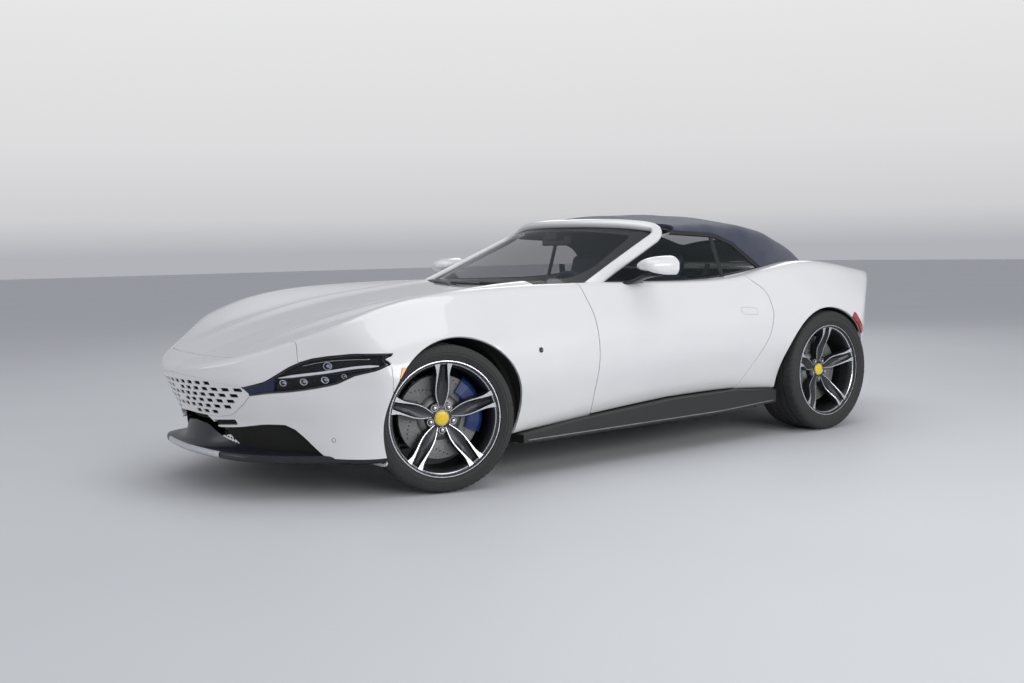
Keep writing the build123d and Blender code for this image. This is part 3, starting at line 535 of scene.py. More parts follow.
def paint():
    """White metallic paint: a faint flake under a clear coat."""
    _, t, bsdf = nodes_of("body_paint", Metallic=0.0, Coat_Weight=1.0, Coat_Roughness=0.03,
                          Specular_IOR_Level=0.5)
    at = coords(t)
    flake = node(t, "ShaderNodeTexVoronoi", [("Vector", at, "Vector")], Scale=1800.0)
    cloud = node(t, "ShaderNodeTexNoise", [("Vector", at, "Vector")], Scale=3.0, Detail=2.0)
    tint = ramp(t, cloud, [(0.3, (0.735, 0.738, 0.748, 1)), (0.7, (0.762, 0.765, 0.772, 1))])
    t.links.new(tint.outputs["Color"], bsdf.inputs["Base Color"])
    r = node(t, "ShaderNodeMapRange", [("Value", flake, "Distance")], To_Min=0.26, To_Max=0.36)
    t.links.new(r.outputs["Result"], bsdf.inputs["Roughness"])


def cloth(name, dark, light, threads):
    """A woven fabric: two crossed sets of threads, with a little sheen."""
    _, t, bsdf = nodes_of(name, Roughness=0.92, Sheen_Weight=0.35, Sheen_Roughness=0.5, Specular_IOR_Level=0.2)
    c = node(t, "ShaderNodeTexCoord")
    waves = []
    for rotation in ((0, 0, 0.785), (0.785, 0, -0.785)):
        mapping = node(t, "ShaderNodeMapping", [("Vector", c, "Object")], Rotation=rotation)
        waves.append(node(t, "ShaderNodeTexWave", [("Vector", mapping, "Vector")], Scale=threads,
                          Distortion=0.6))
    weave = node(t, "ShaderNodeMix", [("A", waves[0], "Fac"), ("B", waves[1], "Fac")])
    noise = node(t, "ShaderNodeTexNoise", [("Vector", c, "Object")], Scale=9.0, Detail=6.0)
    fleck = node(t, "ShaderNodeTexNoise", [("Vector", c, "Object")], Scale=420.0, Detail=2.0)
    blend = node(t, "ShaderNodeMix", [("A", noise, "Fac"), ("B", fleck, "Fac")])
    colour = ramp(t, blend, [(0.35, dark), (0.65, light)])
    t.links.new(colour.outputs["Color"], bsdf.inputs["Base Color"])
    bump(t, bsdf, weave, 0.5, 0.0006, "Result")


def leather(name, dark, light):
    """Hide: a fine cell grain in the bump, a little mottling in the colour."""
    t = mottled(name, dark, light, (0.45, 0.6), 14.0, Specular_IOR_Level=0.4).node_tree
    bsdf = t.nodes["Principled BSDF"]
    cells = node(t, "ShaderNodeTexVoronoi", [("Vector", coords(t), "Vector")], Scale=520.0,
                 feature="DISTANCE_TO_EDGE")
    bump(t, bsdf, cells, 0.25, 0.0004, "Distance")


def glass(name, tint, alpha):
    """Thin glass: mostly see-through and glossy, with a faint waviness."""
    m, t, bsdf = nodes_of(name, Roughness=0.0, IOR=1.45, Coat_Weight=0.3, Base_Color=tint, Alpha=alpha)
    wavy = node(t, "ShaderNodeTexNoise", [("Vector", coords(t), "Vector")], Scale=2.0)
    bump(t, bsdf, wavy, 0.03, 0.002)
    m.surface_render_method = "BLENDED"


paint()
mottled("black_gloss", grey(0.010), grey(0.016, 0.002), (0.10, 0.18), 30, Coat_Weight=0.5)
mottled("black_trim", grey(0.014), grey(0.022), (0.42, 0.55), 80, 900, 0.3, 0.0004)
# near-black for the backs of openings, the disc bores, the pipe ends and the inside of the shell: painted shade
mottled("black_void", grey(0.004), grey(0.006), (0.8, 0.9), 10)
mottled("tyre", grey(0.022), grey(0.034), (0.70, 0.82), 45, 700, 0.25, 0.0004)
mottled("wheel_dark", (0.042, 0.044, 0.050, 1), (0.058, 0.060, 0.066, 1), (0.30, 0.38), 90, Metallic=0.75)
mottled("wheel_bright", (0.62, 0.63, 0.65, 1), (0.72, 0.73, 0.75, 1), (0.22, 0.30), 120, Metallic=0.9)
mottled("caliper_blue", (0.008, 0.025, 0.115, 1), (0.012, 0.035, 0.15, 1), (0.28, 0.36), 40, 500, 0.1)
mottled("cap_yellow", (0.78, 0.55, 0.02, 1), (0.84, 0.60, 0.03, 1), (0.25, 0.33), 60)
mottled("cast_metal", grey(0.22), grey(0.34), (0.45, 0.6), 35, 260, 0.4, 0.001, Metallic=0.8)
mottled("steel", grey(0.42), grey(0.55), (0.25, 0.35), 60, Metallic=1.0)
mottled("chrome", grey(0.78), grey(0.85), (0.08, 0.14), 20, Metallic=1.0)
mottled("liner_plastic", grey(0.010), grey(0.018), (0.75, 0.9), 120, 500, 0.5, 0.001)
mottled("cabin_trim", grey(0.020), grey(0.030), (0.5, 0.62), 50, 800, 0.25, 0.0004)
mottled("amber_lens", (0.75, 0.22, 0.02, 1), (0.85, 0.28, 0.03, 1), (0.15, 0.22), 50, Coat_Weight=0.8)
mottled("red_lens", (0.30, 0.008, 0.010, 1), (0.42, 0.012, 0.014, 1), (0.12, 0.18), 60, Coat_Weight=1.0)
mottled("white_lens", (0.82, 0.85, 0.90, 1), (0.90, 0.93, 0.97, 1), (0.12, 0.2), 60, Coat_Weight=1.0)
mottled("lamp_inner", (0.010, 0.020, 0.050, 1), (0.018, 0.034, 0.085, 1), (0.15, 0.3), 35, Metallic=0.3)
mottled("silver_trim", (0.60, 0.61, 0.63, 1), (0.68, 0.69, 0.71, 1), (0.30, 0.4), 60, Metallic=0.7)
cloth("roof_fabric", (0.022, 0.028, 0.052, 1), (0.040, 0.048, 0.082, 1), 260.0)
leather("seat_leather", (0.012, 0.026, 0.062, 1), (0.020, 0.040, 0.090, 1))
glass("glass", (0.02, 0.028, 0.03, 1), 0.42)
glass("lamp_glass", (0.02, 0.03, 0.05, 1), 0.14)
mottled("black_satin", (0.012, 0.014, 0.020, 1), (0.018, 0.020, 0.028, 1), (0.28, 0.36), 60, 700, 0.1, 0.0003)
mottled("net_gloss", (0.05, 0.055, 0.065, 1), (0.07, 0.075, 0.085, 1), (0.20, 0.30), 60, Metallic=0.4)


# ---------------------------------------------------------------- pieces
SIDES = ((1, "left"), (-1, "right"))
MIDDLE = np.array([0, LENGTH / 2, 0])


def y_of(s):
    return s - LENGTH / 2


def station_y(points):
    """Points of x, s, z in the frame's x, y, z."""
    q = np.array(points, float)
    q[:, 1] -= LENGTH / 2
    return q


def mesh_object(name, verts, faces):
    me = bpy.data.meshes.new(name)
    me.from_pydata(np.asarray(verts, float).tolist(), [], [list(map(int, f)) for f in faces])
    o = bpy.data.objects.new(name, me)
    bpy.context.scene.collection.objects.link(o)
    return o


def piece(name, verts, faces, material, body="body", slot=None, stands_for=(), normals=None, smooth=True):
    """A mesh object of one finish that rides a body, with the nodes that it stands for."""
    o = mesh_object(name, verts, faces)
    o.data.materials.append(MATERIALS[material])
    if smooth:
        o.data.shade_smooth()
    if normals is not None:
        o.data.normals_split_custom_set_from_vertices(np.asarray(normals, float).tolist())
    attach(o, body)
    for other in stands_for:
        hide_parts(other)
    return o


def skin_piece(name, skin, material, body="body", slot=None, stands_for=()):
    return piece(name, station_y(skin.v), skin.f, material, body, slot, stands_for, skin.n)


def panel(name, skin, stands_for, body="body"):
    """A painted panel."""
    return skin_piece(name, skin, "body_paint", body, "body_paint", stands_for)


def skin_sides(name, skin, material, body="body", slot=None, stands_for=()):
    """A left skin and its mirror image as two pieces; {} in the names becomes left or right."""
    for side, one in (("left", skin), ("right", skin.flipped())):
        others = [n.format(side) for n in stands_for]
        skin_piece(name.format(side), one, material, body.format(side), slot, others)


def creased(o, degrees):
    """Shading that breaks where faces meet at more than an angle."""
    o.data.set_sharp_from_angle(angle=math.radians(degrees))
    return o


# ---------------------------------------------------------------- painted panels
GRID = master_grid()
ROWS, COLS = GRID.shape[:2]
NORMALS = grid_normals(GRID)
if (NORMALS[ROWS // 2, COLS // 2] @ [0, 0, 1]) < 0:
    NORMALS = -NORMALS
TRIS = triangles(grid_faces(ROWS, COLS, flip=True))
FLAT_P, FLAT_N = GRID.reshape(-1, 3), NORMALS.reshape(-1, 3)
face_n = face_cross(FLAT_P, TRIS)
area = np.linalg.norm(face_n, axis=1)
TRIS = TRIS[area > 1e-9]
face_n = face_n[area > 1e-9]
if (face_n * FLAT_N[TRIS[:, 0]]).sum() < 0:
    TRIS = TRIS[:, ::-1]
# Where the grid runs together at its poles, the normals come from the triangles.
smooth_n = np.zeros_like(FLAT_N)
facing = np.sign((face_n * FLAT_N[TRIS[:, 0]]).sum(axis=1, keepdims=True))
for corner in range(3):
    np.add.at(smooth_n, TRIS[:, corner], face_n * facing)
poor = np.linalg.norm(FLAT_N, axis=1) < 0.5
FLAT_N[poor] = smooth_n[poor] / np.maximum(np.linalg.norm(smooth_n[poor], axis=1, keepdims=True), 1e-12)
LOWEST_Z = 0.13
BODY = Skin(FLAT_P, FLAT_N, TRIS).where(above("z", LOWEST_Z))

# Outlines of the panels: the bonnet, deck and lid as x and s, the rest as s and z, the nose's as x and z.
half = SHUT / 2 + 0.0011      # half a shut line and the roll of the panel's edge
HOOD = rounded([(0, 0.142), (0.20, 0.142), (0.370, 0.150), (0.470, 0.228), (0.610, 0.372), (0.672, 0.500),
                (0.712, 0.760), (0.742, 1.30), (0.722, 1.78), (0, 1.64), (-0.722, 1.78), (-0.742, 1.30),
                (-0.712, 0.760), (-0.672, 0.500), (-0.610, 0.372), (-0.470, 0.228), (-0.370, 0.150),
                (-0.20, 0.142)],
               [0, 0.4, 0.08, 0.2, 0.2, 0.5, 0.6, 1.0, 0.03, 0, 0.03, 1.0, 0.6, 0.5, 0.2, 0.2, 0.08, 0.4], 0.02)
DOOR = rounded([(1.812, 1.0), (1.812, 0.903), (1.843, 0.780), (1.850, 0.1), (2.9, 0.1), (2.917, 0.268),
                (2.992, 0.382), (3.110, 0.582), (3.155, 0.719), (3.145, 0.841), (3.040, 0.912), (2.990, 1.0)],
               [0, 0.06, 0.2, 0, 0, 0.06, 0.2, 0.2, 0.12, 0.09, 0.06, 0], 0.015)
BUMPER = [(-0.08, 0), (0.64, 0), (0.64, 0.606), (0.335, 0.606), (0.335, 1.0), (-0.08, 1.0)]
TAIL_BUMPER = [(3.9, 0), (3.9, 0.56), (4.33, 0.64), (4.42, 0.716), (4.76, 0.73), (4.76, 0)]
LAMP = rounded([(0.10, 0.460), (0.191, 0.469), (0.237, 0.479), (0.321, 0.489), (0.402, 0.508), (0.456, 0.526),
                (0.508, 0.563), (0.581, 0.587), (0.648, 0.618), (0.592, 0.628), (0.672, 0.657), (0.511, 0.658),
                (0.401, 0.644), (0.353, 0.629), (0.302, 0.598), (0.268, 0.568), (0.228, 0.533), (0.162, 0.507),
                (0.10, 0.498)],
               [0, 0.1, 0.1, 0.1, 0.06, 0.06, 0.05, 0.1, 0.002, 0.008, 0.002, 0.1, 0.1, 0.08, 0.08, 0.05, 0.05,
                0.05, 0], 0.008)
GRILLE = rounded([(0, 0.370), (0.101, 0.366), (0.239, 0.360), (0.325, 0.376), (0.398, 0.428), (0.441, 0.470),
                  (0.418, 0.511), (0.197, 0.551), (0, 0.564)], [0, 0.3, 0.08, 0.06, 0.1, 0.012, 0.02, 0.2, 0],
                 0.01)
CHIN = rounded([(0, 0.10), (0, 0.330), (0.08, 0.329), (0.15, 0.316), (0.24, 0.312), (0.34, 0.318),
                (0.45, 0.335), (0.53, 0.333), (0.570, 0.304), (0.627, 0.245), (0.662, 0.205), (0.700, 0.189),
                (1.2, 0.186), (1.2, 0.10)],
               [0, 0, 0.05, 0.05, 0.1, 0.3, 0.1, 0.05, 0.08, 0.2, 0.06, 0.06, 0, 0], 0.01)
TONNEAU = [(0.742, 3.236), (0.700, 3.560), (0.640, 3.954), (-0.640, 3.954), (-0.700, 3.560), (-0.742, 3.236)]
BOOT = rounded([(0.640, 3.960), (0.600, 4.3), (0.562, 4.7), (-0.562, 4.7), (-0.600, 4.3), (-0.640, 3.960)],
               [0.05, 0.5, 0, 0, 0.5, 0.05], 0.02)
TAIL_LAMP = [(4.30, 0.742), (4.70, 0.752), (4.70, 0.790), (4.33, 0.776)]
COWL = [(-0.714, 1.788), (0, 1.646), (0.714, 1.788), (0.714, 1.95), (0, 1.79), (-0.714, 1.95)]
COWL_REAR = [(-0.714, 1.95), (0, 1.79), (0.714, 1.95), (0.714, 2.3), (-0.714, 2.3)]
CABIN = [(0.742, 1.9), (0.742, 3.236), (-0.742, 3.236), (-0.742, 1.9)]

hood_in = outline(HOOD, "x", "s", -half)
hood_out = flip(outline(HOOD, "x", "s", half))
front_arch = circle(0.985, 0.336, 0.376)
rear_arch = circle(3.622, 0.350, 0.380)


def off_arches(*arches, grow=0.001):
    """Keep what lies clear of the wheel arches, which cut only the car's flanks."""
    def field(p):
        cut = grow - np.min([arch(p) for arch in arches], axis=0)
        return np.where(np.abs(p[:, 0]) > ARCH_X, cut, -0.5)

    return field


ARCH_X = 0.55
off_front, off_rear = off_arches(front_arch), off_arches(rear_arch)
TOP_Z = 0.575                 # plan outlines count above this height
LID_Z = 0.735                 # the boot lid's opening ends at this height on the tail
NOSE_END = 0.9                # the nose's outlines count in front of this station
top_only = above("z", 0.55)


def only_top(field):
    """A plan outline that counts only on the upper surface."""
    return lambda p: np.where(p[:, 2] > TOP_Z, field(p), 0.5)


def not_top(field):
    """A plan outline that leaves everything under the upper surface in."""
    return lambda p: np.where(p[:, 2] > TOP_Z, field(p), -0.5)


def lid_zone(p):
    """Inside the boot lid's opening, with its shut line."""
    return np.maximum(outline(BOOT, "x", "s", half)(p), LID_Z - half - p[:, 2])


def lamp_side(grow):
    """The headlamp's outline, on the flanks only."""
    f = outline(LAMP, "s", "z", grow)
    return lambda p: np.where(np.abs(p[:, 0]) > 0.40, f(p), 0.5)


def off_lamp(p):
    return -lamp_side(0.0035)(p)


def nose_only(field):
    return lambda p: np.where(p[:, 1] < NOSE_END, field(p), 0.5)


def panels():
    front = BODY.where(below("s", 2.3))
    rear = BODY.where(above("s", 1.7))
    hood = front.where(below("s", 1.9), top_only, hood_in).hemmed()
    panel("hood_panel", hood, ["hood"], "hood")

    bumper = front.where(below("s", 1.2), outline(BUMPER, "s", "z", -0.0016), not_top(hood_out), off_lamp,
                         off_front, flip(nose_only(outline(CHIN, "w", "z", 0.001))),
                         flip(nose_only(outline(GRILLE, "w", "z", 0.0016))),
                         flip(nose_only(outline(SLOT, "w", "z", 0.0))))
    panel("front_bumper_panel", bumper.hemmed(0.02), ["front_bumper"])

    fender = front.where(above("x", 0.45), flip(outline(BUMPER, "s", "z", 0.0016)), not_top(hood_out), off_lamp,
                         off_front, flip(outline(DOOR, "s", "z", half)), below("s", 1.95),
                         flip(outline([(0, 1.64), (0.716, 1.78), (0.716, 2.3), (0, 2.3)], "x", "s")),
                         flip(outline(MARKER, "s", "z", 0.0015)))
    skin_sides("front_fender_{}_panel", fender.hemmed(), "body_paint", "body", "body_paint",
               ["front_fender_{}"])

    door = BODY.where(above("x", 0.745), above("s", 1.7), below("s", 3.3), outline(DOOR, "s", "z", -half),
                      flip(outline(HANDLE, "s", "z", 0.0018)),
                      outline([(1.7, 1.2), (1.7, 0.252), (1.85, 0.264), (2.4, 0.298), (3.2, 0.304), (3.2, 1.2)],
                              "s", "z"))
    skin_sides("door_{}_panel", door.hemmed(0.03), "body_paint", "door_{}", "body_paint", ["door_{}"])
    handle = BODY.where(above("x", 0.745), above("s", 2.5), below("s", 3.3), outline(HANDLE, "s", "z", -0.0012))
    skin_sides("door_handle_{}", handle.hemmed(0.01, 0.0008), "body_paint", "door_{}")

    quarter = rear.where(above("x", 0.45), above("s", 2.85), flip(outline(DOOR, "s", "z", half)),
                         flip(outline(TAIL_BUMPER, "s", "z", 0.0018)), off_rear,
                         flip(outline(CABIN, "x", "s")), flip(outline(TONNEAU, "x", "s", 0.003)),
                         flip(lid_zone), flip(outline(TAIL_LAMP, "s", "z", 0.0018)))
    panel("rear_quarter_left_panel", quarter.hemmed(), ["rear_quarter_left"])
    right = quarter.where(flip(outline(FLAP, "s", "z", 0.0016))).flipped()
    panel("rear_quarter_right_panel", right.hemmed(), ["rear_quarter_right"])
    flap = quarter.where(outline(FLAP, "s", "z", -0.0010)).flipped()
    skin_piece("fuel_flap", flap.hemmed(0.01, 0.0008), "body_paint")

    deck = rear.where(outline(TONNEAU, "x", "s", -0.002), above("z", 0.8), above("s", 3.236))
    panel("tonneau_panel", deck.hemmed(), ["tonneau_cover"])
    lid = rear.where(outline(BOOT, "x", "s", -half), above("z", LID_Z + half), above("s", 3.8))
    panel("boot_lid_panel", lid.hemmed(), ["boot_lid"], "boot_lid")
    tail = rear.where(outline(TAIL_BUMPER, "s", "z", -0.0018), off_rear, flip(lid_zone), flip(both(*TAIL_FACE)),
                      flip(outline(VALANCE, "w", "z", 0.001)))
    for x in PIPE_X:
        opening = both(above("s", 4.3), lambda p: np.hypot(p[:, 0] - x, p[:, 2] - PIPE_Z) - PIPE_OPENING_R)
        tail = tail.where(flip(opening))
    panel("rear_bumper_panel", tail.hemmed(0.02), ["rear_bumper"])

    cowl = front.where(outline(COWL, "x", "s", -0.001), above("z", 0.8)).moved(0.004)
    skin_piece("cowl_panel", cowl.hemmed(), "black_trim", "body", "black_trim", ["cowl"])
    base = front.where(outline(COWL_REAR, "x", "s"), above("z", 0.8)).moved(0.010)
    skin_piece("screen_base", base, "black_trim")

    # a near-black inner skin from every second row, open at the cabin, doors, bonnet and boot: painted shade
    # seen through the shut lines and openings
    coarse, coarse_n = GRID[::2, ::2], FLAT_N.reshape(GRID.shape)[::2, ::2]
    faces = triangles(grid_faces(*coarse.shape[:2], flip=True))
    thin = Skin(coarse.reshape(-1, 3), coarse_n.reshape(-1, 3), faces).where(above("z", LOWEST_Z))
    inner = thin.moved(0.020).where(off_arches(front_arch, rear_arch, grow=0.004),
                                    flip(both(outline(CABIN, "x", "s"), above("z", 0.7))),
                                    flip(both(above("w", 0.5), outline(DOOR, "s", "z", -0.020))),
                                    flip(both(below("s", 2.0), top_only, outline(HOOD, "x", "s", -0.020))),
                                    flip(both(above("s", 3.8), outline(BOOT, "x", "s", -0.020),
                                              above("z", 0.755))),
                                    flip(both(outline(COWL_REAR, "x", "s"), above("z", 0.7))))
    skin_piece("body_inner_painted_shade", inner, "black_void")


SLOT = [(0.197, 0.317), (0.330, 0.326), (0.333, 0.354), (0.197, 0.345)]
MARKER = [(0.632, 0.424), (0.664, 0.424), (0.722, 0.588), (0.686, 0.594)]
HANDLE = rounded([(2.902, 0.722), (3.030, 0.712), (3.034, 0.748), (2.906, 0.760)], 0.012, 0.004)
FLAP = rounded([(3.52, 0.80), (3.70, 0.80), (3.70, 0.93), (3.52, 0.93)], 0.03, 0.006)
TAIL_FACE = (below("w", 0.39), below("z", 0.725), above("s", 4.3))
PIPE_X, PIPE_Z, PIPE_OPENING_R = (-0.52, -0.43, 0.43, 0.52), 0.345, 0.047
PLATE = rounded([(-0.27, 0.455), (0.27, 0.455), (0.24, 0.655), (-0.24, 0.655)], 0.025, 0.006)
VALANCE = rounded([(-0.1, 0.10), (-0.1, 0.40), (0.34, 0.40), (0.40, 0.31), (0.62, 0.30), (0.72, 0.22),
                   (0.72, 0.10)], [0, 0, 0.04, 0.04, 0.06, 0.06, 0], 0.01)
panels()


# ---------------------------------------------------------------- builders
def revolve(profile, segments=96, wave=None):
    """A ring about the X axis from (x, r) points, closed on itself."""
    p = np.array(profile, float)
    a = np.linspace(0, 2 * math.pi, segments, endpoint=False)
    x = np.repeat(p[None, :, 0], segments, axis=0)
    r = np.repeat(p[None, :, 1], segments, axis=0)
    if wave is not None:
        r = r + wave(a[:, None], p[None, :, 0], p[None, :, 1])
    v = np.stack([x, r * np.cos(a)[:, None], r * np.sin(a)[:, None]], axis=-1).reshape(-1, 3)
    n = len(p)
    i, j = np.meshgrid(np.arange(segments), np.arange(n - 1), indexing="ij")
    k = (i + 1) % segments
    f = np.stack([i * n + j, k * n + j, k * n + j + 1, i * n + j + 1], axis=-1).reshape(-1, 4)
    return v, f


def join(*parts):
    """Several (verts, faces) as one."""
    vs, fs, base = [], [], 0
    for v, f in parts:
        v = np.asarray(v, float)
        vs.append(v)
        fs += [[int(k) + base for k in face] for face in f]
        base += len(v)
    return np.vstack(vs), fs


def tube_faces(rows, cols):
    """Faces of a tube made of closed rows, with a cap at each end."""
    ends = [list(range(cols))[::-1], list(range((rows - 1) * cols, rows * cols))]
    return grid_faces(rows, cols, closed=True).tolist() + ends


def sweep(path, normals, section, scale=None):
    """A section of (across, out) points carried along a path; out follows the normals."""
    p, n = np.array(path, float), np.array(normals, float)
    if n.ndim == 1:
        n = np.repeat(n[None], len(p), axis=0)
    t = np.gradient(p, axis=0)
    t /= np.linalg.norm(t, axis=1, keepdims=True)
    b = np.cross(t, n)
    b /= np.maximum(np.linalg.norm(b, axis=1, keepdims=True), 1e-9)
    n = np.cross(b, t)
    q = np.array(section, float)
    k = np.ones((len(p), 2)) if scale is None else np.array(scale, float)
    across, out = q[None, :, :1] * k[:, None, :1], q[None, :, 1:] * k[:, None, 1:]
    v = p[:, None] + b[:, None] * across + n[:, None] * out
    return v.reshape(-1, 3), tube_faces(len(p), len(q))


def oval(width, height, count=12, power=2.0):
    """A closed superellipse section."""
    a = np.linspace(0, 2 * math.pi, count, endpoint=False)
    c, s = np.cos(a), np.sin(a)
    return np.c_[np.sign(c) * np.abs(c)**(2 / power) * width / 2,
                 np.sign(s) * np.abs(s)**(2 / power) * height / 2]


def placed(v, matrix):
    """Points moved by a 4 by 4 matrix."""
    m = np.array(matrix)
    return np.asarray(v) @ m[:3, :3].T + m[:3, 3]


def bevelled(o, width):
    """Rounded edges, and shading that keeps the flats flat."""
    mod = o.modifiers.new("bevel", "BEVEL")
    mod.width, mod.segments, mod.limit_method, mod.angle_limit = width, 2, "ANGLE", math.radians(35)
    mod.harden_normals = True


def turned(part, axis, at):
    """A part made along X, turned to lie along an axis and set at a point."""
    matrix = np.array(Vector(np.asarray(axis, float).tolist()).to_track_quat("X", "Z").to_matrix())
    return np.asarray(part[0]) @ matrix.T + at, part[1]


def prism(profile, x0, x1):
    """A side outline (s, z) carried from x0 to x1."""
    k = len(profile)
    v = np.array([(x, s, z) for x in (x0, x1) for s, z in profile])
    wall = [[i, (i + 1) % k, k + (i + 1) % k, k + i] for i in range(k)]
    return station_y(v), [list(range(k))[::-1], list(range(k, 2 * k))] + wall


def block(x0, x1, y0, y1, z0, z1):
    v = [(x, y, z) for x in (x0, x1) for y in (y0, y1) for z in (z0, z1)]
    return np.array(v), [(0, 1, 3, 2), (4, 6, 7, 5), (0, 4, 5, 1), (2, 3, 7, 6), (0, 2, 6, 4), (1, 5, 7, 3)]


# ---------------------------------------------------------------- wheels
def hub_matrix(front, side):
    """Place of a wheel's centre, with X pointing out of the car; the front ones stand steered."""
    turn = 0 if side == 1 else math.pi
    if front:
        kingpin = Matrix.Translation((side * (FRONT_RIM_X - 0.060), y_of(FRONT_AXLE), FRONT_TYRE_R))
        return kingpin @ Matrix.Rotation(turn - STEER_REST, 4, "Z") @ Matrix.Translation((0.060, 0, 0))
    return Matrix.Translation((side * REAR_RIM_X, y_of(REAR_AXLE), REAR_TYRE_R)) @ Matrix.Rotation(turn, 4, "Z")


def tyre_mesh(radius, width, lip_x):
    half = width / 2
    side = [(lip_x - 0.008, 0.2550), (lip_x - 0.0068, 0.2690), (lip_x + 0.003, 0.2720), (half - 0.008, 0.2790),
            (half - 0.003, 0.286), (half - 0.0020, 0.2900), (half - 0.0035, 0.2906), (half - 0.0035, 0.2925),
            (half - 0.0015, 0.2932), (half - 0.0008, radius - 0.042), (half - 0.0030, radius - 0.036),
            (half - 0.0012, radius - 0.034), (half - 0.0025, radius - 0.026), (half - 0.0075, radius - 0.014),
            (half - 0.016, radius - 0.0055), (half - 0.030, radius - 0.0015), (half - 0.040, radius - 0.0006)]
    grooves = []
    for centre in (0.062, 0.022):
        g = centre * width / 0.245
        grooves += [(g + 0.0055, radius), (g + 0.0045, radius - 0.007), (g - 0.0045, radius - 0.007),
                    (g - 0.0055, radius)]
    right = side + grooves
    profile = right + [(-x, r) for x, r in right[::-1]]
    repeat = 70

    def wave(a, x, r):
        across = np.abs(x) / half
        phase = (a * repeat / (2 * math.pi) + across * 0.8 * np.sign(x)) % 1
        sipe = (phase < 0.16) & (across > 0.60) & (r > radius - 0.030)
        mid = (phase < 0.10) & (across < 0.45) & (r > radius - 0.002)
        return np.where(sipe, -0.0035, 0) + np.where(mid, -0.002, 0)
    return revolve(profile, repeat * 6, wave)


RIM_R = np.array([0.040, 0.052, 0.066, 0.085, 0.105, 0.130, 0.155, 0.180, 0.205, 0.225, 0.240, 0.252, 0.2595])
LINE_U = np.array([0.0075, 0.0105, 0.0150, 0.0210, 0.0260, 0.0285, 0.0275, 0.0250, 0.0220, 0.0200, 0.0185,
                   0.0175, 0.0170])
FACE_W = np.array([0.0026, 0.0030, 0.0034, 0.0038, 0.0040, 0.0044, 0.0050, 0.0062, 0.0090, 0.0140, 0.0200,
                   0.0260, 0.0300])


def wheel_mesh(width, lip_x):
    """Five twin spokes: the dark body and the machined faces, each as (verts, faces)."""
    face_x = np.interp(RIM_R, [0.04, 0.078, 0.13, 0.20, 0.2595],
                       [0.050, 0.058, 0.070, lip_x - 0.022, lip_x - 0.009])
    inner_x = -width / 2 + 0.014
    barrel = [(inner_x, 0.268), (inner_x, 0.262), (inner_x + 0.02, 0.2375), (lip_x - 0.060, 0.2350),
              (lip_x - 0.030, 0.2400), (lip_x - 0.018, 0.2500), (lip_x - 0.0150, 0.2540),
              (lip_x - 0.0100, 0.2545), (lip_x - 0.0080, 0.2600), (lip_x - 0.0030, 0.2620)]
    lip = [(lip_x - 0.0030, 0.2620), (lip_x - 0.0002, 0.2628), (lip_x, 0.2650), (lip_x - 0.0008, 0.2676),
           (lip_x - 0.0060, 0.2680)]
    ring = [(lip_x - 0.0180, 0.2496), (lip_x - 0.0146, 0.2536), (lip_x - 0.0098, 0.2541),
            (lip_x - 0.0094, 0.2552)]
    well = [(lip_x - 0.0060, 0.2680), (lip_x - 0.0075, 0.2545), (0.0, 0.2400), (inner_x, 0.2680)]
    dark, bright = [revolve(barrel, 120), revolve(well, 96)], [revolve(lip, 120), revolve(ring, 120)]
    hub = [(0.012, 0.074), (0.040, 0.0755), (0.047, 0.0720), (0.050, 0.0600), (0.052, 0.046), (0.054, 0.0345),
           (0.050, 0.0330), (0.050, 0.0)]
    dark.append(revolve(hub, 60))
    for pair in range(5):
        turn = Matrix.Rotation(math.radians(pair * 72), 4, "X")
        web = []
        for r, u, x in zip(RIM_R, LINE_U, face_x):
            deep = np.interp(r, [0.04, 0.08, 0.13, 0.17, 0.2595], [0.002, 0.005, 0.010, 0.024, 0.020])
            web.append([(x - 0.001, -u, r), (x - deep * 0.75, -u * 0.6, r), (x - deep, 0, r),
                        (x - deep * 0.75, u * 0.6, r), (x - 0.001, u, r)])
        w = np.array(web)
        dark.append((placed(w.reshape(-1, 3), turn), grid_faces(len(RIM_R), 5)))
        for side in (-1, 1):
            bar, face = [], []
            for r, u, wide, x in zip(RIM_R, LINE_U, FACE_W, face_x):
                deep = np.interp(r, [0.04, 0.13, 0.2595], [0.030, 0.034, 0.040])
                flare = np.interp(r, [0.04, 0.13, 0.22, 0.2595], [0.002, 0.006, 0.007, 0.004])
                bar.append([(x - 0.0250, side * (u - 0.001), r), (x, side * u, r), (x, side * (u + wide), r),
                            (x - 0.0030, side * (u + wide + flare * 0.4), r),
                            (x - deep, side * (u + wide + flare), r)])
                face.append([(x + 0.0003, side * u, r), (x + 0.0003, side * (u + wide), r)])
            dark.append((placed(np.array(bar).reshape(-1, 3), turn), grid_faces(len(RIM_R), 5, flip=side < 0)))
            bright.append((placed(np.array(face).reshape(-1, 3), turn),
                           grid_faces(len(RIM_R), 2, flip=side < 0)))
    return join(*dark), join(*bright)


def nut_ring():
    """Five lug nuts in their seats."""
    seat = revolve([(0.045, 0.0175), (0.0545, 0.0165), (0.0545, 0.0135), (0.047, 0.0130)], 24)
    nut = revolve([(0.044, 0.0100), (0.058, 0.0100), (0.061, 0.0085), (0.062, 0.0060), (0.0635, 0.0)], 6)
    parts = []
    for k in range(5):
        a = math.radians(k * 72 + 36)
        at = Matrix.Translation((0, 0.057 * -math.sin(a), 0.057 * math.cos(a)))
        parts += [(placed(seat[0], at), seat[1]), (placed(nut[0], at), nut[1])]
    return join(*parts)


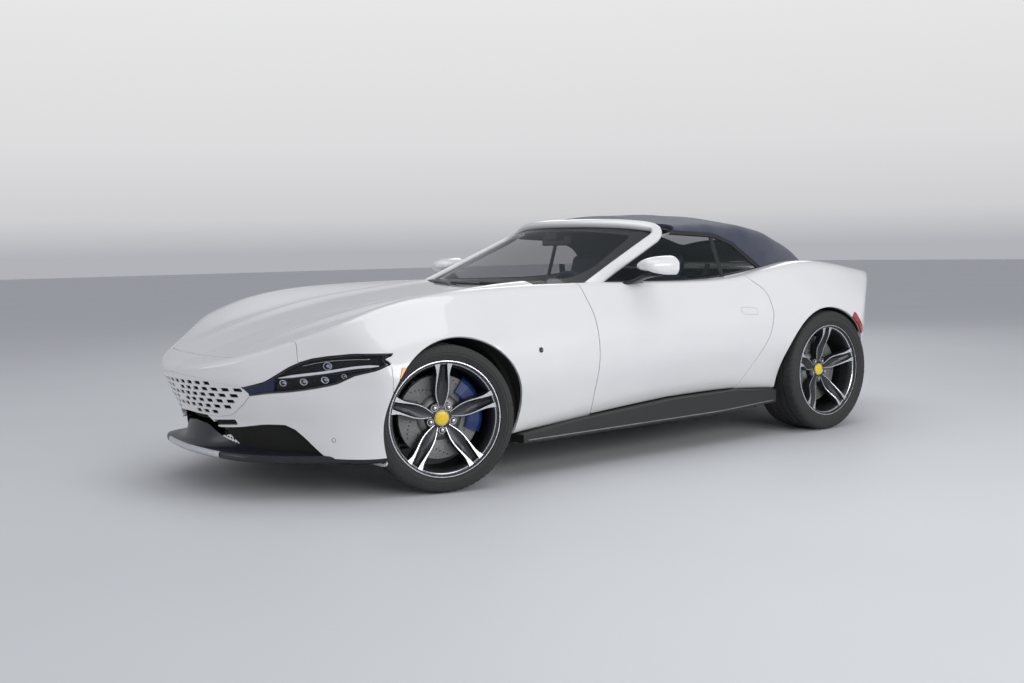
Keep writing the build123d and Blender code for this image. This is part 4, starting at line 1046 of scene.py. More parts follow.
def disc_mesh():
    """The brake disc, and near-black octagons on its face as painted shade for its drilled bores."""
    plate = revolve([(-0.020, 0.118), (-0.020, 0.195), (-0.0085, 0.1955), (-0.0085, 0.1900), (0.0025, 0.1900),
                     (0.0025, 0.1955), (0.014, 0.195), (0.014, 0.112), (0.012, 0.108), (0.006, 0.105),
                     (0.004, 0.118)], 110)
    # flat near-black octagons on the disc's face: painted shade where the bores are
    holes = []
    for k in range(60):
        a, r = math.radians(k * 6), 0.126 + 0.0098 * (k % 6) + 0.004
        ring = [(0.0144, r * math.cos(a) + 0.0036 * math.cos(t), r * math.sin(a) + 0.0036 * math.sin(t))
                for t in np.linspace(0, 2 * math.pi, 8, endpoint=False)]
        holes.append((np.array(ring), [list(range(8))]))
    return plate, join(*holes)


def caliper_mesh(middle, span):
    """A caliper: a curved block about a middle angle, with three raised ribs."""
    a = np.radians(np.linspace(middle - span, middle + span, 19))
    edge = np.clip(np.minimum(np.arange(19), np.arange(19)[::-1]) / 3.0, 0, 1)
    rows = []
    for t, e in zip(a, edge):
        top = 0.0345 * (0.80 + 0.20 * e)
        section = [(0.0200, 0.128), (top - 0.006, 0.128), (top, 0.136), (top, 0.190), (top - 0.008, 0.206),
                   (-0.010, 0.2225), (-0.050, 0.2225), (-0.050, 0.2040), (0.0210, 0.2030)]
        rows.append([(x, r * math.cos(t), r * math.sin(t)) for x, r in section])
    v = np.array(rows).reshape(-1, 3)
    n = len(rows[0])
    f = grid_faces(19, n, closed=True).tolist() + [list(range(n)), list(range(18 * n, 19 * n))[::-1]]
    ribs = []
    for off in (-15, 0, 15):
        t = math.radians(middle + off)
        b = block(0.030, 0.0375, 0.138, 0.186, -0.006, 0.006)
        ribs.append((placed(b[0], Matrix.Rotation(t, 4, "X")), b[1]))
    return join((v, f), *ribs)


def wheels():
    nuts, cap = nut_ring(), revolve([(0.052, 0.0335), (0.0575, 0.0325), (0.0595, 0.0290), (0.0600, 0.0)], 48)
    ring = revolve([(0.0515, 0.0372), (0.0560, 0.0365), (0.0572, 0.0345), (0.0530, 0.0335)], 48)
    plate, holes = disc_mesh()
    hat = revolve([(0.004, 0.106), (0.010, 0.104), (0.0205, 0.082), (0.0215, 0.078), (0.0215, 0.034),
                   (0.014, 0.033)], 60)
    for front in (True, False):
        end = "front" if front else "rear"
        radius, width, lip = (FRONT_TYRE_R, 0.245, 0.110) if front else (REAR_TYRE_R, 0.285, 0.130)
        rubber, (dark, bright) = tyre_mesh(radius, width, lip), wheel_mesh(width, lip)
        for side, name in SIDES:
            hub, tag = hub_matrix(front, side), f"{end}_{name}"
            body = f"wheel_{tag}"
            # name, mesh, finish, slot, node that it stands for, angle of its creases
            parts = [("rubber", rubber, "tyre", "tyre", "tyre", 35),
                     ("spokes", dark, "wheel_dark", "wheel_alloy", "wheel", 32),
                     ("machined", bright, "wheel_bright", None, None, 35),
                     ("nuts", nuts, "steel", None, None, 30),
                     ("cap", cap, "cap_yellow", None, None, None),
                     ("cap_ring", ring, "steel", None, None, None),
                     ("disc", plate, "disc_ceramic", "brake_disc", "brake_disc", 35),
                     # the disc's bores as near-black octagons: painted shade
                     ("disc_hole_shade", holes, "black_void", None, None, None),
                     ("disc_hat", hat, "cast_metal", None, None, None)]
            for part, (v, f), finish, slot, node_name, crease in parts:
                stands_for = [f"{node_name}_{tag}"] if node_name else []
                o = piece(f"{part}_{tag}", placed(v, hub), f, finish, body, slot, stands_for)
                if crease:
                    creased(o, crease)
            middle = 16 if front == (side == 1) else 164
            v, f = caliper_mesh(middle, 40 if front else 32)
            holder = f"knuckle_{name}" if front else "body"
            bevelled(piece(f"caliper_{tag}", placed(v, hub), f, "caliper_blue", holder, smooth=False), 0.0025)


mottled("disc_ceramic", grey(0.10), grey(0.26), (0.35, 0.5), 210, 400, 0.3, Metallic=0.2)
wheels()


# ---------------------------------------------------------------- roof, screen and side glass
# Sections: s, low x and z, shoulder x and z, middle z; millimetres.
ROOF = [
    (1900, 836, 800, 690, 1160, 1230), (2300, 836, 800, 686, 1198, 1276), (2600, 838, 800, 684, 1216, 1314),
    (2900, 842, 800, 678, 1224, 1326), (3150, 846, 800, 664, 1218, 1322), (3400, 842, 800, 636, 1190, 1296),
    (3600, 815, 800, 600, 1136, 1240), (3800, 765, 800, 560, 1058, 1144), (3950, 700, 800, 515, 975, 1010),
]
WINDOW = rounded([(1.900, 0.8), (1.900, 1.192), (2.600, 1.192), (2.935, 1.171), (3.078, 1.119), (3.262, 0.968),
                  (3.262, 0.8)], [0, 0, 0.5, 0.3, 0.12, 0.03, 0], 0.012)
REAR_PANE = rounded([(0.400, 3.520), (0.360, 3.760), (-0.360, 3.760), (-0.400, 3.520)], 0.05, 0.01)
SCREEN = [(0.840, 0.765, 1.750, 1.530), (1.330, 0.604, 2.852, 2.500)]
SCREEN_EDGE = [(0.700, 0.880), (0.684, 0.931), (0.594, 1.186), (0.30, 1.226), (0, 1.238), (-0.30, 1.226),
               (-0.594, 1.186), (-0.684, 0.931), (-0.700, 0.880)]
GLASS_SPLIT = 2.914
BOWS = [2.62, 2.95, 3.24, 3.48, 3.80]


def roof_skin(step=0.014, inset=0.0, sag=0.0):
    """The roof and side glass as one surface, sunk by inset; sag lets the cloth down between its bows."""
    t = np.array(ROOF, float) / 1000
    s = np.arange(1.9, 3.9501, step)
    rows = spline(t[:, 0], t[:, 1:], s)
    count = 90
    grid = []
    for at, r in zip(s, rows):
        points = [(r[0], r[1]), (r[2], r[3]), (0, r[4]), (-r[2], r[3]), (-r[0], r[1])]
        line = dense(rounded(points, [0, 0.13, 2.2, 0.13, 0], 0.006, closed=False), 0.006)
        length = run_length(line)
        u = np.linspace(0, length[-1], 2 * count + 1)
        grid.append(np.c_[np.interp(u, length, line[:, 0]), np.full(len(u), at),
                          np.interp(u, length, line[:, 1])])
    g = np.array(grid)
    for _ in range(6):
        along, across = g[:-2, 1:-1] + g[2:, 1:-1], g[1:-1, :-2] + g[1:-1, 2:]
        g[1:-1, 1:-1] = g[1:-1, 1:-1] * 0.5 + along * 0.125 + across * 0.125
    n = grid_normals(g)
    if n[len(s) // 2, count, 2] < 0:
        n = -n
    if sag:
        near = np.min(np.abs(g[..., 1:2] - np.array(BOWS)), axis=-1)
        high = ease(g[..., 2], 1.05, 1.16)
        g = g - n * (sag * high * ease(near, 0.0, 0.12))[..., None]
        n = grid_normals(g)
        n = n * np.sign(n[len(s) // 2, count, 2])
    return grid_skin(g, n, inset)


def screen_s(x, z, setback=0.0):
    """Station of the windscreen's surface."""
    (z0, w0, c0, m0), (z1, w1, c1, m1) = SCREEN
    t = (z - z0) / (z1 - z0)
    w, c, m = w0 + (w1 - w0) * t, c0 + (c1 - c0) * t, m0 + (m1 - m0) * t
    sag = c - m
    r = (w * w + sag * sag) / (2 * sag)
    return m + r - np.sqrt(np.maximum(r * r - x * x, 1e-6)) + setback


def screen_skin():
    """The windscreen, behind its surround's outer face."""
    x, z = np.meshgrid(np.linspace(-0.76, 0.76, 110), np.linspace(0.87, 1.28, 44))
    g = np.stack([x, screen_s(x, z), z], axis=-1)
    n = grid_normals(g)
    n = n * np.sign(n[20, 55, 2])
    return grid_skin(g - n * 0.014, n)


def behind_screen(setback):
    """Keep what lies further back than the windscreen, by setback."""
    return lambda p: screen_s(p[:, 0], p[:, 2], setback) - p[:, 1]


def off_body(lift):
    """Keep what stands above the painted body."""
    return lambda p: -(body_field(p) - lift)


def frame_path():
    """The line of the windscreen pillars and header, from the left foot over the top to the right foot."""
    roof = np.array(ROOF, float) / 1000
    half = []
    for z in np.linspace(0.885, 1.150, 14):
        x = 0.74
        for _ in range(8):
            s = float(screen_s(x, z))
            r = spline(roof[:, 0], roof[:, 1:], np.array([s]))[0]
            x = r[0] + (r[2] - r[0]) * (z - r[1]) / (r[3] - r[1]) - 0.028
        half.append((x, s + 0.012, z))
    for x, z in ((0.652, 1.180), (0.618, 1.203), (0.56, 1.219), (0.47, 1.231), (0.36, 1.239), (0.24, 1.2435),
                 (0.12, 1.2455), (0.0, 1.246)):
        half.append((x, float(screen_s(x, z)) + 0.012, z))
    half = np.array(half)
    full = np.vstack([half, half[-2::-1] * [-1, 1, 1]])
    t = run_length(full)
    return spline(t, full, np.linspace(0, t[-1], 110))


def greenhouse():
    """The cloth roof with its lining, the side glass, the rear pane, the windscreen and its surround."""
    roof = roof_skin(sag=0.0035)
    off_panes = (flip(outline(WINDOW, "s", "z", 0.004)), flip(only_top(outline(REAR_PANE, "x", "s", 0.004))))
    cloth_skin = roof.where(behind_screen(0.056), *off_panes, off_body(0.002))
    top = skin_piece("roof_cloth", cloth_skin.hemmed(0.016, 0.003), "roof_fabric", "body", "roof_fabric",
                     ["soft_top"])
    lining = roof.moved(0.020).where(behind_screen(0.060), *off_panes, off_body(-0.01))
    skin_piece("roof_lining", lining, "cabin_trim")
    trim = roof_skin(0.02, 0.005)
    seal = trim.where(behind_screen(0.050), outline(WINDOW, "s", "z", 0.004),
                      flip(outline(WINDOW, "s", "z", -0.016)), above("z", 0.93))
    skin_piece("window_seals", seal.hemmed(0.012, 0.002), "black_trim")
    side = roof_skin(0.02, 0.011)
    front = side.where(outline(WINDOW, "s", "z", 0.001), behind_screen(0.040), off_body(-0.02), above("w", 0.3))
    door_glass = front.where(below("s", GLASS_SPLIT - 0.006), above("x", 0))
    skin_sides("door_pane_{}", door_glass, "side_glass", "door_{}", "glass", ["door_glass_{}"])
    skin_piece("quarter_panes", front.where(above("s", GLASS_SPLIT + 0.006)), "side_glass", "body", "glass")
    bar = roof_skin(0.02, 0.009).where(above("s", GLASS_SPLIT - 0.011), below("s", GLASS_SPLIT + 0.011),
                                       outline(WINDOW, "s", "z", 0.002), off_body(-0.02), above("w", 0.3))
    skin_piece("glass_dividers", bar.hemmed(0.01, 0.001), "black_gloss")
    pane = roof.moved(0.012).where(outline(REAR_PANE, "x", "s", 0.004), above("z", 0.9))
    skin_piece("rear_pane", pane, "glass", "body", "glass")
    frit = roof.moved(0.013).where(outline(REAR_PANE, "x", "s", 0.004),
                                   flip(outline(REAR_PANE, "x", "s", -0.022)), above("z", 0.9))
    skin_piece("rear_pane_edge", frit, "black_gloss")

    screen = screen_skin()
    edge = rounded(SCREEN_EDGE, [0, 0, 0.05, 0.5, 0.5, 0.5, 0.05, 0, 0], 0.01)
    skin_piece("windscreen", screen.where(outline(edge, "x", "z", 0.028)), "glass", "body", "glass",
               ["fixed_glass"])
    inner = rounded([(0.640, 0.948), (0.553, 1.168), (0.30, 1.196), (0, 1.206), (-0.30, 1.196), (-0.553, 1.168),
                     (-0.640, 0.948), (0, 0.915)], [0.05, 0.04, 0.5, 0.5, 0.5, 0.04, 0.05, 2.0], 0.01)
    frit = screen.moved(0.004).where(outline(edge, "x", "z", 0.028), flip(outline(inner, "x", "z")))
    skin_piece("windscreen_edge", frit, "black_gloss")

    path = frame_path()
    up = np.zeros_like(path)
    e = 0.004                 # a small step for the surface's slopes
    for k, (x, _, z) in enumerate(path):
        ds_dx = float(screen_s(x + e, z) - screen_s(x - e, z)) / (2 * e)
        ds_dz = float(screen_s(x, z + e) - screen_s(x, z - e)) / (2 * e)
        lean = np.array([ds_dx, -1.0, ds_dz])
        side_push = np.array([np.sign(x) * 0.75 * min(abs(x) / 0.55, 1)**3, 0, 0.25])
        up[k] = lean / np.linalg.norm(lean) + side_push
    up /= np.linalg.norm(up, axis=1, keepdims=True)
    v, f = sweep(path, up, oval(0.061, 0.040, 20, 3.0))
    surround = piece("windscreen_surround", station_y(v), f, "body_paint", "body", "body_paint",
                     ["windscreen_frame"])
    creased(surround, 60)


glass("side_glass", (0.02, 0.028, 0.03, 1), 0.36)
greenhouse()


# ---------------------------------------------------------------- nose, grille, headlamps, splitter
def surface_point(s, z, depth=0.0):
    """A point of the left flank, sunk by depth, and the surface's normal there; x, s, z."""
    p = solve(np.array([[0.2, s, z]]), np.array([[1.0, 0.0, 0.0]]))[0]
    e = 0.004
    n = np.array([float(body_field(p + d) - body_field(p - d)) for d in np.eye(3) * e])
    n /= np.linalg.norm(n)
    return p - n * depth, n


def nose_skin(x0, x1, z0, z1, step, ahead=-1.0, start=NOSE_END):
    """The nose's surface, or the tail's, as a grid over x and z."""
    x, z = np.meshgrid(np.arange(x0, x1 + step / 2, step), np.arange(z0, z1 + step / 2, step))
    origin = np.c_[x.ravel(), np.full(x.size, start), z.ravel()]
    p = solve(origin, np.tile([0.0, ahead, 0.0], (x.size, 1)))
    n = grid_normals(p.reshape(x.shape + (3,))).reshape(-1, 3)
    return grid_skin(p.reshape(x.shape + (3,)), n * np.sign(ahead * n[:, 1:2]))


def holes(pitch, rise, half_x, half_z, radius, low, turn=0.0, within=None):
    """Below zero in staggered rounded openings, in rows that lie rise apart.

    within keeps the openings whose middle is inside a field.
    """
    c, k = math.cos(turn), math.sin(turn)

    def field(p):
        x, z = p[:, 0] * c + (p[:, 2] - low) * k, (p[:, 2] - low) * c - p[:, 0] * k
        row = np.round(z / rise)
        off = (x + np.where(row % 2 == 0, 0.5, 0.0) * pitch) % pitch - pitch / 2
        dx = np.abs(off) - half_x + radius
        dz = np.abs(z - row * rise) - half_z + radius
        away = np.hypot(np.maximum(dx, 0), np.maximum(dz, 0)) + np.minimum(np.maximum(dx, dz), 0) - radius
        if within is not None:
            away = np.where(within(np.c_[x - off, p[:, 1], row * rise + low]) < 0, away, 0.02)
        return away

    return field


def two_sided(v, f):
    """A mesh of the left side with its mirror image."""
    v = np.asarray(v, float)
    n = len(v)
    return np.vstack([v,
                      v * [-1, 1, 1]]), [list(map(int,
                                                  a)) for a in f] + [[int(k) + n for k in a][::-1] for a in f]


def skin_pair(name, skin, material, body="body", slot=None, stands_for=()):
    """A left skin and its mirror image as one piece."""
    other = skin.flipped()
    both_sides = Skin(np.vstack([skin.v, other.v]), np.vstack([skin.n, other.n]),
                      np.vstack([skin.f, other.f + len(skin.v)]))
    return skin_piece(name, both_sides, material, body, slot, stands_for)


INTAKE = rounded([(0.215, 0.296), (0.284, 0.305), (0.374, 0.314), (0.45, 0.326), (0.520, 0.323), (0.560, 0.298),
                  (0.618, 0.242), (0.640, 0.219), (0.600, 0.208), (0.435, 0.206), (0.330, 0.222),
                  (0.240, 0.250)], [0.02, 0.05, 0.1, 0.1, 0.05, 0.08, 0.2, 0.012, 0.05, 0.1, 0.1, 0.05], 0.008)
# The splitter's front edge: distance from the middle, station, height of its lower lip.
LIP = [(0.0, 0.062, 0.180), (0.16, 0.072, 0.180), (0.29, 0.088, 0.180), (0.38, 0.107, 0.180),
       (0.455, 0.140, 0.178), (0.53, 0.215, 0.174), (0.62, 0.340, 0.168), (0.735, 0.467, 0.168),
       (0.80, 0.555, 0.168), (0.862, 0.636, 0.168)]


def blade_rows(name, rows, material, *rest):
    """A piece over rows of points that run along the splitter's edge."""
    grid = np.array(rows).transpose(1, 0, 2)
    fix_normals(piece(name, station_y(grid.reshape(-1, 3)), grid_faces(*grid.shape[:2]), material, *rest))


def front_end():
    """The grille panel, chin, side intakes with their mesh, and the splitter."""
    shell = nose_skin(-0.468, 0.468, 0.340, 0.588, 0.004)
    pattern = holes(0.057, 0.0275, 0.0192, 0.0095, 0.0040, 0.384, within=outline(GRILLE, "w", "z", -0.017))
    mesh = shell.where(outline(GRILLE, "w", "z", -0.0012), flip(pattern))
    skin_piece("grille_panel", mesh.moved(0.0015).hemmed(0.0065, 0.0010), "body_paint", "body", "black_trim",
               ["grille"])
    # a near-black sheet 75 mm behind the grille's holes: painted shade
    back = nose_skin(-0.468, 0.468, 0.340, 0.588, 0.016).where(outline(GRILLE, "w", "z", 0.0)).moved(0.075)
    skin_piece("grille_painted_shade", back, "black_void")
    # near-black sheets 22 mm behind the nose slots: painted shade
    slot = nose_skin(0.19, 0.34, 0.316, 0.354, 0.004).where(outline(SLOT, "w", "z", 0.003)).moved(0.022)
    skin_pair("nose_slot_shade", slot, "black_void")

    front = BODY.where(below("s", 0.95), below("z", 0.36))
    chin = front.where(nose_only(outline(CHIN, "w", "z", 0.004)), above("z", 0.165),
                       flip(outline(INTAKE, "w", "z", 0.0)), off_front).moved(0.020)
    skin_piece("chin", chin.hemmed(0.03, 0.002), "black_satin", "body", "black_trim", ["lower_grille"])
    net = nose_skin(0.20, 0.66, 0.195, 0.335, 0.0045)
    weave = holes(0.0235, 0.0118, 0.0094, 0.0094, 0.0012, 0.1, math.radians(33))
    net = net.where(outline(INTAKE, "w", "z", 0.002), flip(weave)).moved(0.026)
    skin_pair("intake_mesh", net.hemmed(0.004, 0.0008), "net_gloss")
    # a near-black sheet 75 mm inside the nose, seen through the intakes and their mesh: painted shade
    intake_shade_sheet = front.where(below("s", 0.62), below("w", 0.80)).moved(0.075)
    skin_piece("intake_painted_shade", intake_shade_sheet, "black_void")
    wedge = outline([(0.505, 0.305), (0.572, 0.238), (0.560, 0.226), (0.508, 0.232)], "w", "z")
    lens = nose_skin(0.20, 0.66, 0.195, 0.335, 0.008).where(wedge).moved(0.052)
    skin_pair("intake_lamps", lens.hemmed(0.012), "silver_trim")

    t = run_length(np.array(LIP)[:, :2])
    half_lip = spline(t, np.array(LIP), np.linspace(0, t[-1], 44))
    path = np.vstack([half_lip[:0:-1] * [-1, 1, 1], half_lip])
    d = np.gradient(path[:, :2], axis=0)
    d /= np.linalg.norm(d, axis=1, keepdims=True)
    inward = np.c_[-d[:, 1], d[:, 0]]
    inward *= np.sign(inward[:, 1:])
    wide = np.abs(path[:, 0])
    wall = np.interp(0.24, END_Z, END_NOSE) + end_sag(wide, NOSE_R, NOSE_ARC_X)
    slope = np.maximum(np.sqrt(1 + (d[:, 1] / d[:, 0])**2), 1)
    shelf = np.clip((wall - path[:, 1]) / slope, 0.012, 0.2) + 0.014
    top = np.interp(wide, [0, 0.12, 0.20, 0.30, 0.45, 0.62, 0.862],
                    [0.322, 0.312, 0.272, 0.236, 0.214, 0.204, 0.199])
    edge = ((0.15, 0.004), (0.02, -0.001), (0.006, 0.0), (0.0, 0.005), (-0.001, 0.016), (0.001, 0.026),
            (0.006, 0.031))
    rows = [np.c_[path[:, :2] + inward * inset, path[:, 2] + rise] for inset, rise in edge]
    for u in (0.15, 0.3, 0.45, 0.6, 0.75, 0.88, 1.0):
        low = path[:, 2] + 0.033
        rows.append(np.c_[path[:, :2] + inward * (0.006 + (shelf - 0.006) * u**0.8)[:, None],
                          low + 0.004 * u + np.maximum(top - low, 0) * u**3.2])
    blade_rows("splitter_blade", rows, "black_satin", "body", "black_trim", ["front_splitter"])
    lip = [k for k in range(len(path)) if abs(path[k, 0]) < 0.33]
    edge = ((0.005, 0.001), (-0.002, 0.006), (-0.0035, 0.016), (-0.002, 0.026), (0.005, 0.0325))
    rows = [np.c_[path[lip, :2] + inward[lip] * inset, path[lip, 2] + rise] for inset, rise in edge]
    blade_rows("splitter_strip", rows, "silver_trim")


def fix_normals(o):
    """Faces turned outwards."""
    b = bmesh.new()
    b.from_mesh(o.data)
    bmesh.ops.recalc_face_normals(b, faces=b.faces)
    b.to_mesh(o.data)
    b.free()
    return o


def lens_unit(radius, depth):
    """A projector: a bright ring round a domed lens, facing along x."""
    ring = revolve([(0, radius), (depth, radius), (depth, radius * 0.80), (depth * 0.3, radius * 0.72),
                    (0, radius * 0.72)], 28)
    dome = revolve([(depth * 0.35, 0.0004), (depth * 0.95, 0.0004), (depth * 0.86, radius * 0.3),
                    (depth * 0.62, radius * 0.55), (depth * 0.3, radius * 0.70), (depth * 0.28, 0.0004)], 28)
    return ring, dome


def headlamps():
    """The lamp's rim, its two beds, arm and glass, the light bar, shelf, blade and five projectors."""
    side = BODY.where(above("x", 0.40), below("s", 0.75), above("z", 0.42), below("z", 0.70))
    shell = side.where(lamp_side(-0.0022))
    rim = shell.where(flip(lamp_side(-0.0065))).moved(0.003)
    skin_pair("headlamp_rims", rim.hemmed(0.045, 0.0006), "black_gloss", "body", "lamp_lens", ["headlamps"])
    bar_line = [(0.235, 0.548), (0.272, 0.553), (0.342, 0.565), (0.425, 0.579), (0.508, 0.597), (0.583, 0.606),
                (0.640, 0.612)]
    upper = outline(bar_line + [(0.66, 0.70), (0.235, 0.70)], "s", "z")
    arm = outline([(0.0, 0.40), (0.262, 0.40), (0.258, 0.56), (0.0, 0.56)], "s", "z")
    skin_pair("headlamp_upper", shell.where(upper, flip(arm)).moved(0.026), "lamp_inner")
    skin_pair("headlamp_lower", shell.where(flip(upper), flip(arm)).moved(0.040).hemmed(0.004), "black_gloss")
    skin_pair("headlamp_arms", shell.where(arm).moved(0.006).hemmed(0.02), "lamp_inner")
    skin_pair("headlamp_glass", shell.where(flip(arm)).moved(0.0035), "lamp_glass", "body", "glass")

    def along(points, depth, count):
        """Points under the surface along a line of s and z, with the surface's normals."""
        t = run_length(np.array(points))
        line = spline(t, np.array(points), np.linspace(0, t[-1], count))
        got = [surface_point(s, z, depth) for s, z in line]
        return np.array([g[0] for g in got]), np.array([g[1] for g in got])

    p, n = along([(0.268, 0.5505), (0.342, 0.564), (0.425, 0.579), (0.508, 0.598), (0.590, 0.6065)], 0.011, 40)
    taper = np.clip(np.minimum(np.linspace(0.25, 6, 40), np.linspace(7, 0.35, 40)), 0, 1)
    v, f = sweep(station_y(p), n, oval(0.0125, 0.010, 14, 3), np.c_[taper, taper])
    piece("light_bars", *two_sided(v, f), "white_lens", "body", "lamp_lens")
    p, n = along([(0.262, 0.541), (0.342, 0.553), (0.425, 0.566), (0.508, 0.583), (0.560, 0.592)], 0.022, 30)
    v, f = sweep(station_y(p), n, oval(0.006, 0.030, 10, 4))
    piece("lamp_shelves", *two_sided(v, f), "black_gloss")
    p, n = along([(0.345, 0.606), (0.400, 0.622), (0.470, 0.632), (0.560, 0.636)], 0.018, 24)
    v, f = sweep(station_y(p), n, oval(0.004, 0.012, 8, 3))
    piece("lamp_blades", *two_sided(v, f), "chrome")

    rings, domes = [], []
    for s, z, radius, depth in ((0.290, 0.524, 0.017, 0.020), (0.355, 0.531, 0.018, 0.022),
                                (0.421, 0.541, 0.018, 0.022),
                                (0.428, 0.606, 0.021, 0.018), (0.478, 0.558, 0.012, 0.016)):
        q, n = surface_point(s, z, 0.030)
        for parts, (v, f) in zip((rings, domes), lens_unit(radius, depth)):
            parts.append(turned((v * [1, 1.15, 0.85], f), n + [0.1, -0.8, 0.0], q - MIDDLE))
    creased(piece("lamp_rings", *two_sided(*join(*rings)), "chrome"), 50)
    piece("lamp_domes", *two_sided(*join(*domes)), "lens_clear")


def liners():
    """The plastic tubs round the wheels, inside the painted arches."""
    parts = []
    for lip_s, hub_s, z0, radius, deep in ((0.985, 0.958, 0.336, 0.372, 0.380),
                                           (3.622, 3.628, 0.350, 0.376, 0.377)):
        a, x = np.meshgrid(np.radians(np.arange(-24, 205, 3.0)), np.linspace(0.448, 0.99, 72))
        inner = 1 - ease(x, 0.845, 0.885)
        grown, s0 = (deep - radius) * inner, lip_s + (hub_s - lip_s) * inner
        reach = radius + grown + 0.0025 * np.sin(x * 160)
        p = np.stack([x, s0 + reach * np.cos(a), z0 + reach * np.sin(a)], axis=-1)
        n = -np.stack([0 * a, np.cos(a), np.sin(a)], axis=-1)
        tub = Skin(p.reshape(-1, 3), n.reshape(-1, 3), triangles(grid_faces(*a.shape)))
        tub = tub.where(lambda p: body_field(p) + 0.010, above("z", 0.16))
        r, a = np.meshgrid(np.linspace(0.10, deep, 8), np.radians(np.arange(-24, 205, 3.0)))
        v = np.stack([np.full(r.shape, 0.449), hub_s + r * np.cos(a), z0 + r * np.sin(a)],
                     axis=-1).reshape(-1, 3)
        v[:, 2] = np.maximum(v[:, 2], 0.165)
        parts += [(station_y(tub.v), tub.f), (station_y(v), grid_faces(*r.shape))]
    piece("arch_liners", *two_sided(*join(*parts)), "liner_plastic", "body", "liner_plastic", ["wheel_liners"])


def markers():
    """Side markers front and rear, and a round sensor in the bumper's corner."""
    amber = BODY.where(above("x", 0.5), below("s", 1.2), outline(MARKER, "s", "z", -0.0008),
                       off_front).moved(-0.003)
    skin_pair("front_markers", amber.hemmed(0.008, 0.002), "amber_lens", "body", "lamp_lens")
    red = BODY.where(above("x", 0.5), above("s", 3.6), outline(REAR_MARKER, "s", "z", -0.0008),
                     off_rear).moved(-0.003)
    skin_pair("rear_markers", red.hemmed(0.008, 0.002), "red_lens", "body", "tail_lens")
    q, n = surface_point(*SENSOR)
    cap = revolve([(-0.002, 0.0002), (0.0008, 0.0002), (0.0010, 0.0078), (-0.002, 0.0082)], 24)
    ring = revolve([(-0.002, 0.0084), (0.0006, 0.0086), (0.0004, 0.0102), (-0.002, 0.0104)], 24)
    piece("sensor_ring_1", *two_sided(*turned(ring, n, q - MIDDLE)), "black_gloss")
    piece("sensor_caps", *two_sided(*turned(cap, n, q - MIDDLE)), "body_paint")


REAR_MARKER = [(3.836, 0.660), (3.872, 0.694), (3.972, 0.574), (3.940, 0.548)]
SENSOR = (0.452, 0.273)
mottled("lens_clear", (0.35, 0.42, 0.55, 1), (0.5, 0.58, 0.7, 1), (0.03, 0.06), 40, Metallic=0.6,
        Coat_Weight=1.0)
front_end()
headlamps()
liners()
markers()


# ---------------------------------------------------------------- stuffed forms, cabin, mirrors, tail, chassis
def pad_mesh(points, radii, half, centre, edge, crown=0.008, facing=(0, 1), bolster=0.0, channels=0.0):
    """A side outline (s, z in mm) carried across, pulled in at its two ends over edge.

    The side that looks along facing is crowned, with raised bolsters and sewn channels.
    """
    rows, step = 26, 0.014
    line = rounded([(s / 1000, z / 1000) for s, z in points], radii, step)
    line = dense(np.vstack([line, line[:1]]), step)[:-1]
    if np.sum(line[:, 0] * np.roll(line[:, 1], -1) - np.roll(line[:, 0], -1) * line[:, 1]) < 0:
        line = line[::-1]
    t = np.roll(line, -1, axis=0) - np.roll(line, 1, axis=0)
    n = np.c_[t[:, 1], -t[:, 0]] / np.linalg.norm(t, axis=1, keepdims=True)
    # how far each place looks along facing
    faced = np.clip(n @ (np.array(facing) / np.linalg.norm(facing)), 0, 1)**0.5
    run = np.cumsum(np.linalg.norm(t, axis=1)) / 2
    u = np.sin(np.linspace(-math.pi / 2, math.pi / 2, rows))[:, None]
    near_end = np.clip((np.abs(u) * half - (half - edge)) / edge, 0, 1)
    out = crown * (1 - u**2) - edge * (1 - np.sqrt(1 - near_end**2)) + 0 * run
    if bolster:
        out = out + faced * bolster * (np.exp(-((np.abs(u) - 0.80) / 0.13)**2) - 0.75 * (np.abs(u) < 0.62))
    if channels:
        across = (np.abs(u) < 0.60)
        out = out - faced * across * 0.006 * np.exp(-(((run % channels) - channels / 2) / 0.007)**2)
        out = out - faced * 0.007 * np.exp(-((np.abs(u) * half - 0.62 * half) / 0.006)**2)
    x = centre + half * u + 0 * run
    v = np.stack([x, line[:, 0] + n[:, 0] * out, line[:, 1] + n[:, 1] * out], axis=-1).reshape(-1, 3)
    return station_y(v), tube_faces(rows, len(line))


def pad(name, *args, material="seat_leather", body="body", slot=None, stands_for=(), fill=None, **more):
    """A stuffed piece; fill is not used."""
    o = fix_normals(piece(name, *pad_mesh(*args, **more), material, body, slot, stands_for))
    return o


def rod(points, width, height=None, count=12, power=2.0, up=(0, 0, 1), scale=None):
    """A bar of oval section along (x, s, z) points."""
    return sweep(station_y(points), np.array(up, float), oval(width, height or width, count, power), scale)


def mirrored_parts(parts):
    """Parts of the left side with their mirror images."""
    v, f = join(*parts)
    return join((v, f), (v * [-1, 1, 1], [list(face)[::-1] for face in f]))


def solid(name, parts, material, body="body", slot=None, stands_for=(), bevel=0.0, angle=35):
    """Several closed parts as one piece, with bevelled edges or creases past an angle."""
    o = fix_normals(piece(name, *join(*parts), material, body, slot, stands_for, smooth=not bevel))
    if bevel:
        bevelled(o, bevel)
    else:
        creased(o, angle)


def box(x0, x1, s0, s1, z0, z1):
    """A block between two stations."""
    return block(x0, x1, y_of(s0), y_of(s1), z0, z1)


SEAT_X, REAR_SEAT_X = 0.370, 0.350


